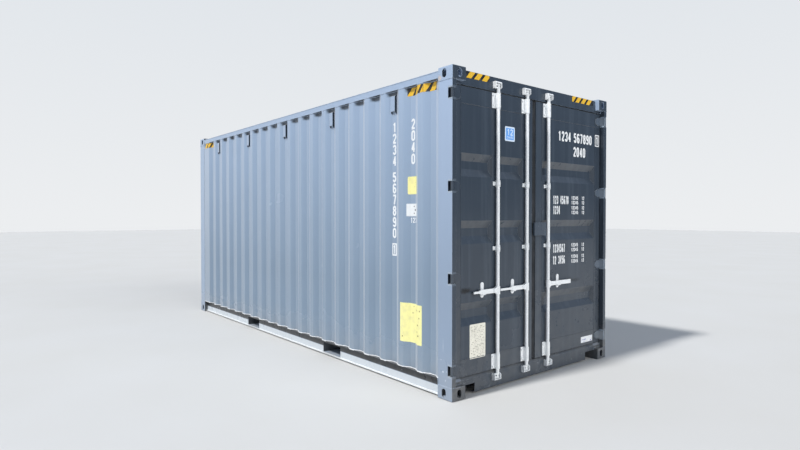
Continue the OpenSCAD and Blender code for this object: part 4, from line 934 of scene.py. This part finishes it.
# Collars that keep each bar from sliding, beside the guides, and the bolt heads of the handle pivots
collar = {"bar": 0.0165, "outer": 0.0225, "height": 0.011, "gap": 0.0255, "hubZ": 0.914, "pivot": 0.052,
          "cheek": 0.0123, "pivotHead": [(0.0095, 0), (0.0095, 0.004), (0.0075, 0.0055)]}
t = np.linspace(0, 2 * np.pi, 15)[:-1]
middle, reach = (collar["outer"] + collar["bar"]) / 2, (collar["outer"] - collar["bar"]) / 2
ringProfile = np.stack([middle + reach * np.cos(t), collar["height"] / 2 * np.sin(t)], 1)
pivotHead = turned(collar["pivotHead"], 6)
cheek = np.array([collar["cheek"], 0, 0])
for k, (y, s) in enumerate([(y, s) for side, s in sides for y in gear["bars"][side]]):
    bar = "lock_bar_" + str(k + 1)
    levels = [[gear["barX"], y, z + a] for z in gear["guides"] for a in (-collar["gap"], collar["gap"])]
    pivots = np.array([[gear["barX"], y + s * collar["pivot"], collar["hubZ"]]])
    addPiece("barCollars_" + str(k + 1), [repeated(ring(ringProfile, 20), levels, 2)], galvanised, bar,
             True)
    heads = [repeated(pivotHead, pivots + cheek, 0), repeated(pivotHead, pivots - cheek, 0, -1)]
    addPiece("pivotBolts_" + str(k + 1), heads, galvanised, bar)
print("gear made")

# Seals: ribs on the seal between the leaves, and a lip in the gap round each leaf
seal = {"ribs": [-0.041, -0.0265, -0.012], "ribR": 0.0035, "ribEnd": 0.002, "face": 2.966, "lipX": 2.964,
        "side": 0.003, "sideR": 0.0026, "end": 0.0046, "endR": 0.0040}
ribZ = (leaf["low"] + seal["ribEnd"], 1.4, leaf["high"] - seal["ribEnd"])
ribs = [roundBar([(seal["face"], y, z) for z in ribZ], seal["ribR"], 8) for y in seal["ribs"]]
addPiece("centreSealRibs", ribs, sealRubber, "right_door", True)
for side, s in sides:
    inner, outer, x = leaf["free"][side], s * leaf["out"], seal["lipX"]
    low, high, edge = leaf["low"] - seal["end"], leaf["high"] + seal["end"], outer + s * seal["side"]
    lips = [roundBar(np.linspace((x, inner, z), (x, outer, z), 12), seal["endR"], 8) for z in (low, high)]
    lips.append(roundBar(np.linspace((x, edge, leaf["low"]), (x, edge, leaf["high"]), 12), seal["sideR"], 8))
    addPiece(side + "LeafLip", lips, sealRubber, side + "_door", True)

# Numbers on the leaves and walls: condensed painted digits, plain counting numbers. A row is its digits and
# the lower left corner of the first, and the boxed digit stands apart
number = {"wide": 0.050, "tall": 0.106, "pitch": 0.0590, "stroke": 0.0195,
          "rows": (("1234", 0.375, 2.386), ("567890", 0.65525, 2.386), ("2040", 0.648, 2.238)),
          "box": ((1.066, 2.380), (1.148, 2.510)), "boxStroke": 0.012, "boxed": (1.083, 2.396), "boxedTall": 0.096}
size, step = (number["wide"], number["tall"]), (number["pitch"], 0)
shapes = []
for text, y, z in number["rows"]:
    shapes += digitRow(text, (y, z), size, step, number["stroke"], onLeaf)
shapes += digitBox(*number["box"], number["boxStroke"], onLeaf)
shapes += digitRow("1", number["boxed"], (number["wide"], number["boxedTall"]), step, number["stroke"], onLeaf)
addPiece("leafNumbers", shapes, whiteFilm, "right_door")

# Blocks of numbers: a large row on the left, and two small rows beside it in two columns
block = {"rows": {1.726: "123 45678", 1.621: "1234", 1.222: "1234567", 1.100: "12 3456"}, "left": 0.292,
         "size": (0.0255, 0.088), "pitch": 0.0308, "bold": 0.0122, "lineDrop": 0.050,
         "smallSize": (0.0205, 0.040), "smallPitch": 0.0262, "smallBold": 0.0090,
         "columns": {0.618: "12345", 0.812: "12"}}
shapes = []
for z, text in block["rows"].items():
    shapes += digitRow(text, (block["left"], z), block["size"], (block["pitch"], 0), block["bold"], onLeaf)
    for y, little in block["columns"].items():
        for dz in (0, block["lineDrop"]):
            shapes += digitRow(little, (y, z + dz), block["smallSize"], (block["smallPitch"], 0),
                               block["smallBold"], onLeaf)
addPiece("leafNumberBlocks", shapes, whiteFilm, "right_door")

# Wall numbers stand one above the other in the corrugation's inner flats; at holds the middles of the columns
column = {"at": {"left": (2.192, 2.470), "right": (1.978, 2.256), "front": (0.625, 0.875)}, "size": (0.054, 0.100),
          "drop": 0.1085, "top": 2.411, "gap": 0.45, "bold": 0.0190, "boxHalf": 0.034, "boxLow": 1.215,
          "boxHigh": 1.337, "boxStroke": 0.014, "boxed": (0.042, 0.090), "boxedZ": 1.231, "boxedBold": 0.016,
          "secondDrop": 0.001}


def wallNumbers(onFace, at1, at2):
    size, drop, bold = column["size"], (0, -column["drop"]), column["bold"]
    half, boxedHalf = size[0] / 2, column["boxed"][0] / 2
    second = column["top"] - (4 + column["gap"]) * column["drop"]
    made = digitRow("1234", (at1 - half, column["top"]), size, drop, bold, onFace)
    made += digitRow("567890", (at1 - half, second), size, drop, bold, onFace)
    made += digitBox((at1 - column["boxHalf"], column["boxLow"]), (at1 + column["boxHalf"], column["boxHigh"]),
                     column["boxStroke"], onFace)
    made += digitRow("1", (at1 - boxedHalf, column["boxedZ"]), column["boxed"], drop, column["boxedBold"], onFace)
    made += digitRow("2040", (at2 - half, column["top"] - column["secondDrop"]), size, drop, bold, onFace)
    return made


for wall, onFace in (("left", onLeftWall), ("right", onRightWall), ("front", onFrontWall)):
    addPiece(wall + "WallNumbers", wallNumbers(onFace, *column["at"][wall]), wallFilm, "frame")
print("numbers made")

# Hazard stripes: black film with slanting yellow bars, a film that follows the sheet. Each film is its two ends,
# its first bar's foot and its count of bars
hazard = {"pitch": 0.101, "bar": 0.064, "lean": 0.052, "lift": 0.0002, "thick": 0.0005, "corner": 0.001,
          "header": [(-1.010, -0.700, -1.004, 3), (0.612, 1.010, 0.570, 4)], "headerZ": (2.822, 2.880),
          "left": [(2.405, 2.792, 2.400, 4), (-2.800, -2.440, -2.800, 4)],
          "right": [(2.405, 2.792, 2.400, 4), (-2.792, -2.405, -2.792, 4)], "wallZ": (2.722, 2.796)}


# A slanting bar cut off at the film's ends: p(s, t) = foot + s * bar + t * lean across, and t of the height up
def hazardBar(onFace, foot, low, high, z0, z1, steps):
    t, s = np.linspace(0, 1, 7), np.linspace(0, 1, steps)
    grid = (foot + s[:, None] * hazard["bar"] + t[None] * hazard["lean"]).clip(low, high)
    up = np.broadcast_to(z0 + t[None] * (z1 - z0), grid.shape)
    flat = np.full(grid.shape, hazard["lift"] + hazard["thick"])
    return slab(onFace(grid, up, flat + hazard["thick"]), onFace(grid, up, flat))


films, bars = [], []
for key, onFace, (z0, z1) in (("header", onHeader, hazard["headerZ"]), ("left", onLeftWall, hazard["wallZ"]),
                              ("right", onRightWall, hazard["wallZ"])):
    for low, high, first, count in hazard[key]:
        flat = key == "header"
        columns = () if flat else bends(low, high, sideWave, castingX, key == "right")
        films.append(plate(onFace, (low, z0), (high, z1), hazard["corner"], hazard["lift"], hazard["thick"],
                           columns)[0])
        bars += [hazardBar(onFace, first + k * hazard["pitch"], low, high, z0, z1, 5 if flat else 25)
                 for k in range(count)]
addPiece("hazardFilms", films, blackFilm, "frame")
addPiece("hazardBars", bars, yellowFilm, "frame")

# Labels on the near wall, which follow the corrugation: corners, and the corner radius. Marks are left, bottom,
# width and height, and the row's digits have their width, pitch and stroke
wallLabels = {"small": ((2.408, 1.805), (2.537, 1.971), 0.012), "white": ((2.396, 1.600), (2.538, 1.717), 0.004),
              "large": ((2.322, 0.414), (2.632, 0.782), 0.008), "row": ((2.435, 1.537), (0.026, 0.051)),
              "rowPitch": 0.033, "rowStroke": 0.010, "markCorner": 0.003, "markLift": 0.0009, "markThick": 0.0003,
              "marks": ((2.480, 1.686, 0.012, 0.010), (2.495, 1.648, 0.012, 0.020), (2.480, 1.622, 0.012, 0.010))}
smallPrint = printedMaterial("paleYellowPrint", "#f6efa4", "#d9cf8c", (129, 166), 20, 4.0, 3.0, 0.3)
largePrint = printedMaterial("yellowPrint", "#f6f0a6", "#a2965c", (310, 368), 33, 6.0, 8.0, 0.33)
for key, film in (("small", smallPrint), ("white", wallFilm), ("large", largePrint)):
    low, high, radius = wallLabels[key]
    shape, uv = plate(onLeftWall, low, high, radius, columns=bends(low[0], high[0], sideWave, castingX))
    addPiece(key + "WallLabel", [shape], film, "frame", uv=uv)
marks = [plate(onLeftWall, (x, z), (x + w, z + h), wallLabels["markCorner"], wallLabels["markLift"],
               wallLabels["markThick"])[0] for x, z, w, h in wallLabels["marks"]]
addPiece("whiteWallLabelMarks", marks, blackFilm, "frame")
digits = digitRow("123", *wallLabels["row"], (wallLabels["rowPitch"], 0), wallLabels["rowStroke"], onLeftWall)
addPiece("wallLabelRow", digits, wallFilm, "frame")

# Plates on the leaves: a small blue one, the riveted data plate and a white one low on the right
leafPlates = {"blue": ((-0.472, 2.312), (-0.329, 2.450), 0.012), "edge": 0.014, "fieldCorner": 0.006,
              "fieldLift": 0.0008, "fieldThick": 0.0004, "digitLift": 0.0013,
              "digits": (("12", (0.030, 0.056), (0.038, 0.060), 0.046, 0.011),
                         ("345", (0.030, 0.024), (0.020, 0.024), 0.030, 0.005)),
              "data": ((-0.946, 0.318), (-0.739, 0.628), 0.010), "dataThick": 0.0015, "rivetIn": 0.012,
              "rivet": (0.0042, 0.0026), "white": ((0.811, 0.209), (1.032, 0.274), 0.004)}
low, high, radius = (np.array(value) for value in leafPlates["blue"])
shape, uv = plate(onLeaf, low, high, radius)
addPiece("bluePlateEdge", [shape], paleBlueFilm, "left_door")
shape, uv = plate(onLeaf, low + leafPlates["edge"], high - leafPlates["edge"], leafPlates["fieldCorner"],
                  leafPlates["fieldLift"], leafPlates["fieldThick"])
addPiece("bluePlateField", [shape], blueFilm, "left_door")
shapes = []
for text, place, size, pitch, bold in leafPlates["digits"]:
    shapes += digitRow(text, low + place, size, (pitch, 0), bold, onLeaf, leafPlates["digitLift"])
addPiece("bluePlateNumbers", shapes, paleBlueFilm, "left_door")
low, high, radius = leafPlates["data"]
dataPrint = printedMaterial("dataPlatePrint", "#f2eedf", "#98917f", (207, 310), 14, 2.8, 11.0, 0.5)
shape, uv = plate(onLeaf, low, high, radius, filmLift, leafPlates["dataThick"])
addPiece("dataPlate", [shape], dataPrint, "left_door", uv=uv)
inset, plateX = leafPlates["rivetIn"], leafX + filmLift + leafPlates["dataThick"]
corners = [[plateX, y, z] for y in (low[0] + inset, high[0] - inset) for z in (low[1] + inset, high[1] - inset)]
addPiece("dataPlateRivets", [repeated(dome(*leafPlates["rivet"], 4, 12), corners, 0)], galvanised, "left_door",
         True)
low, high, radius = leafPlates["white"]
lowPrint = printedMaterial("whitePlatePrint", "#eef0f2", "#8a8fc0", (221, 65), 22, 7.0, 14.0, 0.4)
shape, uv = plate(onLeaf, low, high, radius)
addPiece("whitePlate", [shape], lowPrint, "right_door", uv=uv)
print("labels made")

# Vent hoods: a screw at each corner of the hood's foot and head
vent = {"first": 2, "step": 4, "count": 5, "z": [2.5845, 2.7645], "across": 0.022, "screw": 0.0045, "rise": 0.003}
hoods = vent["first"] + np.arange(vent["count"]) * vent["step"]
ventX = castingX - sideWave["slope"] - sideWave["flat"] / 2 - hoods * sideWave["pitch"]
ventX = ventX[ventX > -castingX]
screw = dome(vent["screw"], vent["rise"], 4, 10)
valleyY = wallY - sideWave["depth"]
ventScrews = [repeated(screw, [[x + a, s * valleyY, z] for x in ventX for a in (-vent["across"], vent["across"])
                               for z in vent["z"]], 1, s) for s in (-1, 1)]
addPiece("ventScrews", ventScrews, galvanised, "frame", True)

# Lashing rods on the rails inside, each a bent bar in a corrugation's recess
lashing = {"every": 2, "half": 0.026, "rise": 0.048, "rod": 0.005, "in": 0.016, "sunk": 0.002, "square": 0.6}
t = np.linspace(0, np.pi, 13)
loop = np.stack([-lashing["half"] * np.cos(t), np.zeros(13), lashing["rise"] * np.sin(t) ** lashing["square"]], 1)
outerFlat = sideWave["pitch"] - 2 * sideWave["slope"] - sideWave["flat"]
recessX = castingX - np.arange(1, sideWave["count"], lashing["every"]) * sideWave["pitch"] + outerFlat / 2
rods = []
for y in (lashing["in"] - wallY, wallY - lashing["in"]):
    for x in recessX:
        rods.append(roundBar(loop + [x, y, baseTop - lashing["sunk"]], lashing["rod"], 8))
        rods.append(roundBar(loop * [1, 1, -1] + [x, y, railBottom + lashing["sunk"]], lashing["rod"], 8))
addPiece("lashingRods", rods, frameEnamel, "frame", True)

# Floor screws: ten in a row over each crossmember
floorScrews = {"rowX": [-2.56, -2.18, -1.86, -1.54, -1.24, -0.84, -0.55, -0.27, 0.02, 0.31, 0.59, 0.84, 1.24, 1.54,
                        1.86, 2.18, 2.56], "acrossY": 1.1, "perRow": 10,
               "head": [(0.007, 0), (0.006, 0.0008), (0.003, 0.0009)]}
rowY = np.linspace(-floorScrews["acrossY"], floorScrews["acrossY"], floorScrews["perRow"])
x, y = np.meshgrid(floorScrews["rowX"], rowY)
places = np.stack([x.ravel(), y.ravel(), np.full(x.size, floorTop)], 1)
addPiece("floorScrews", [repeated(turned(floorScrews["head"], 8), places, 2)], galvanised, "frame")
print("inside made")
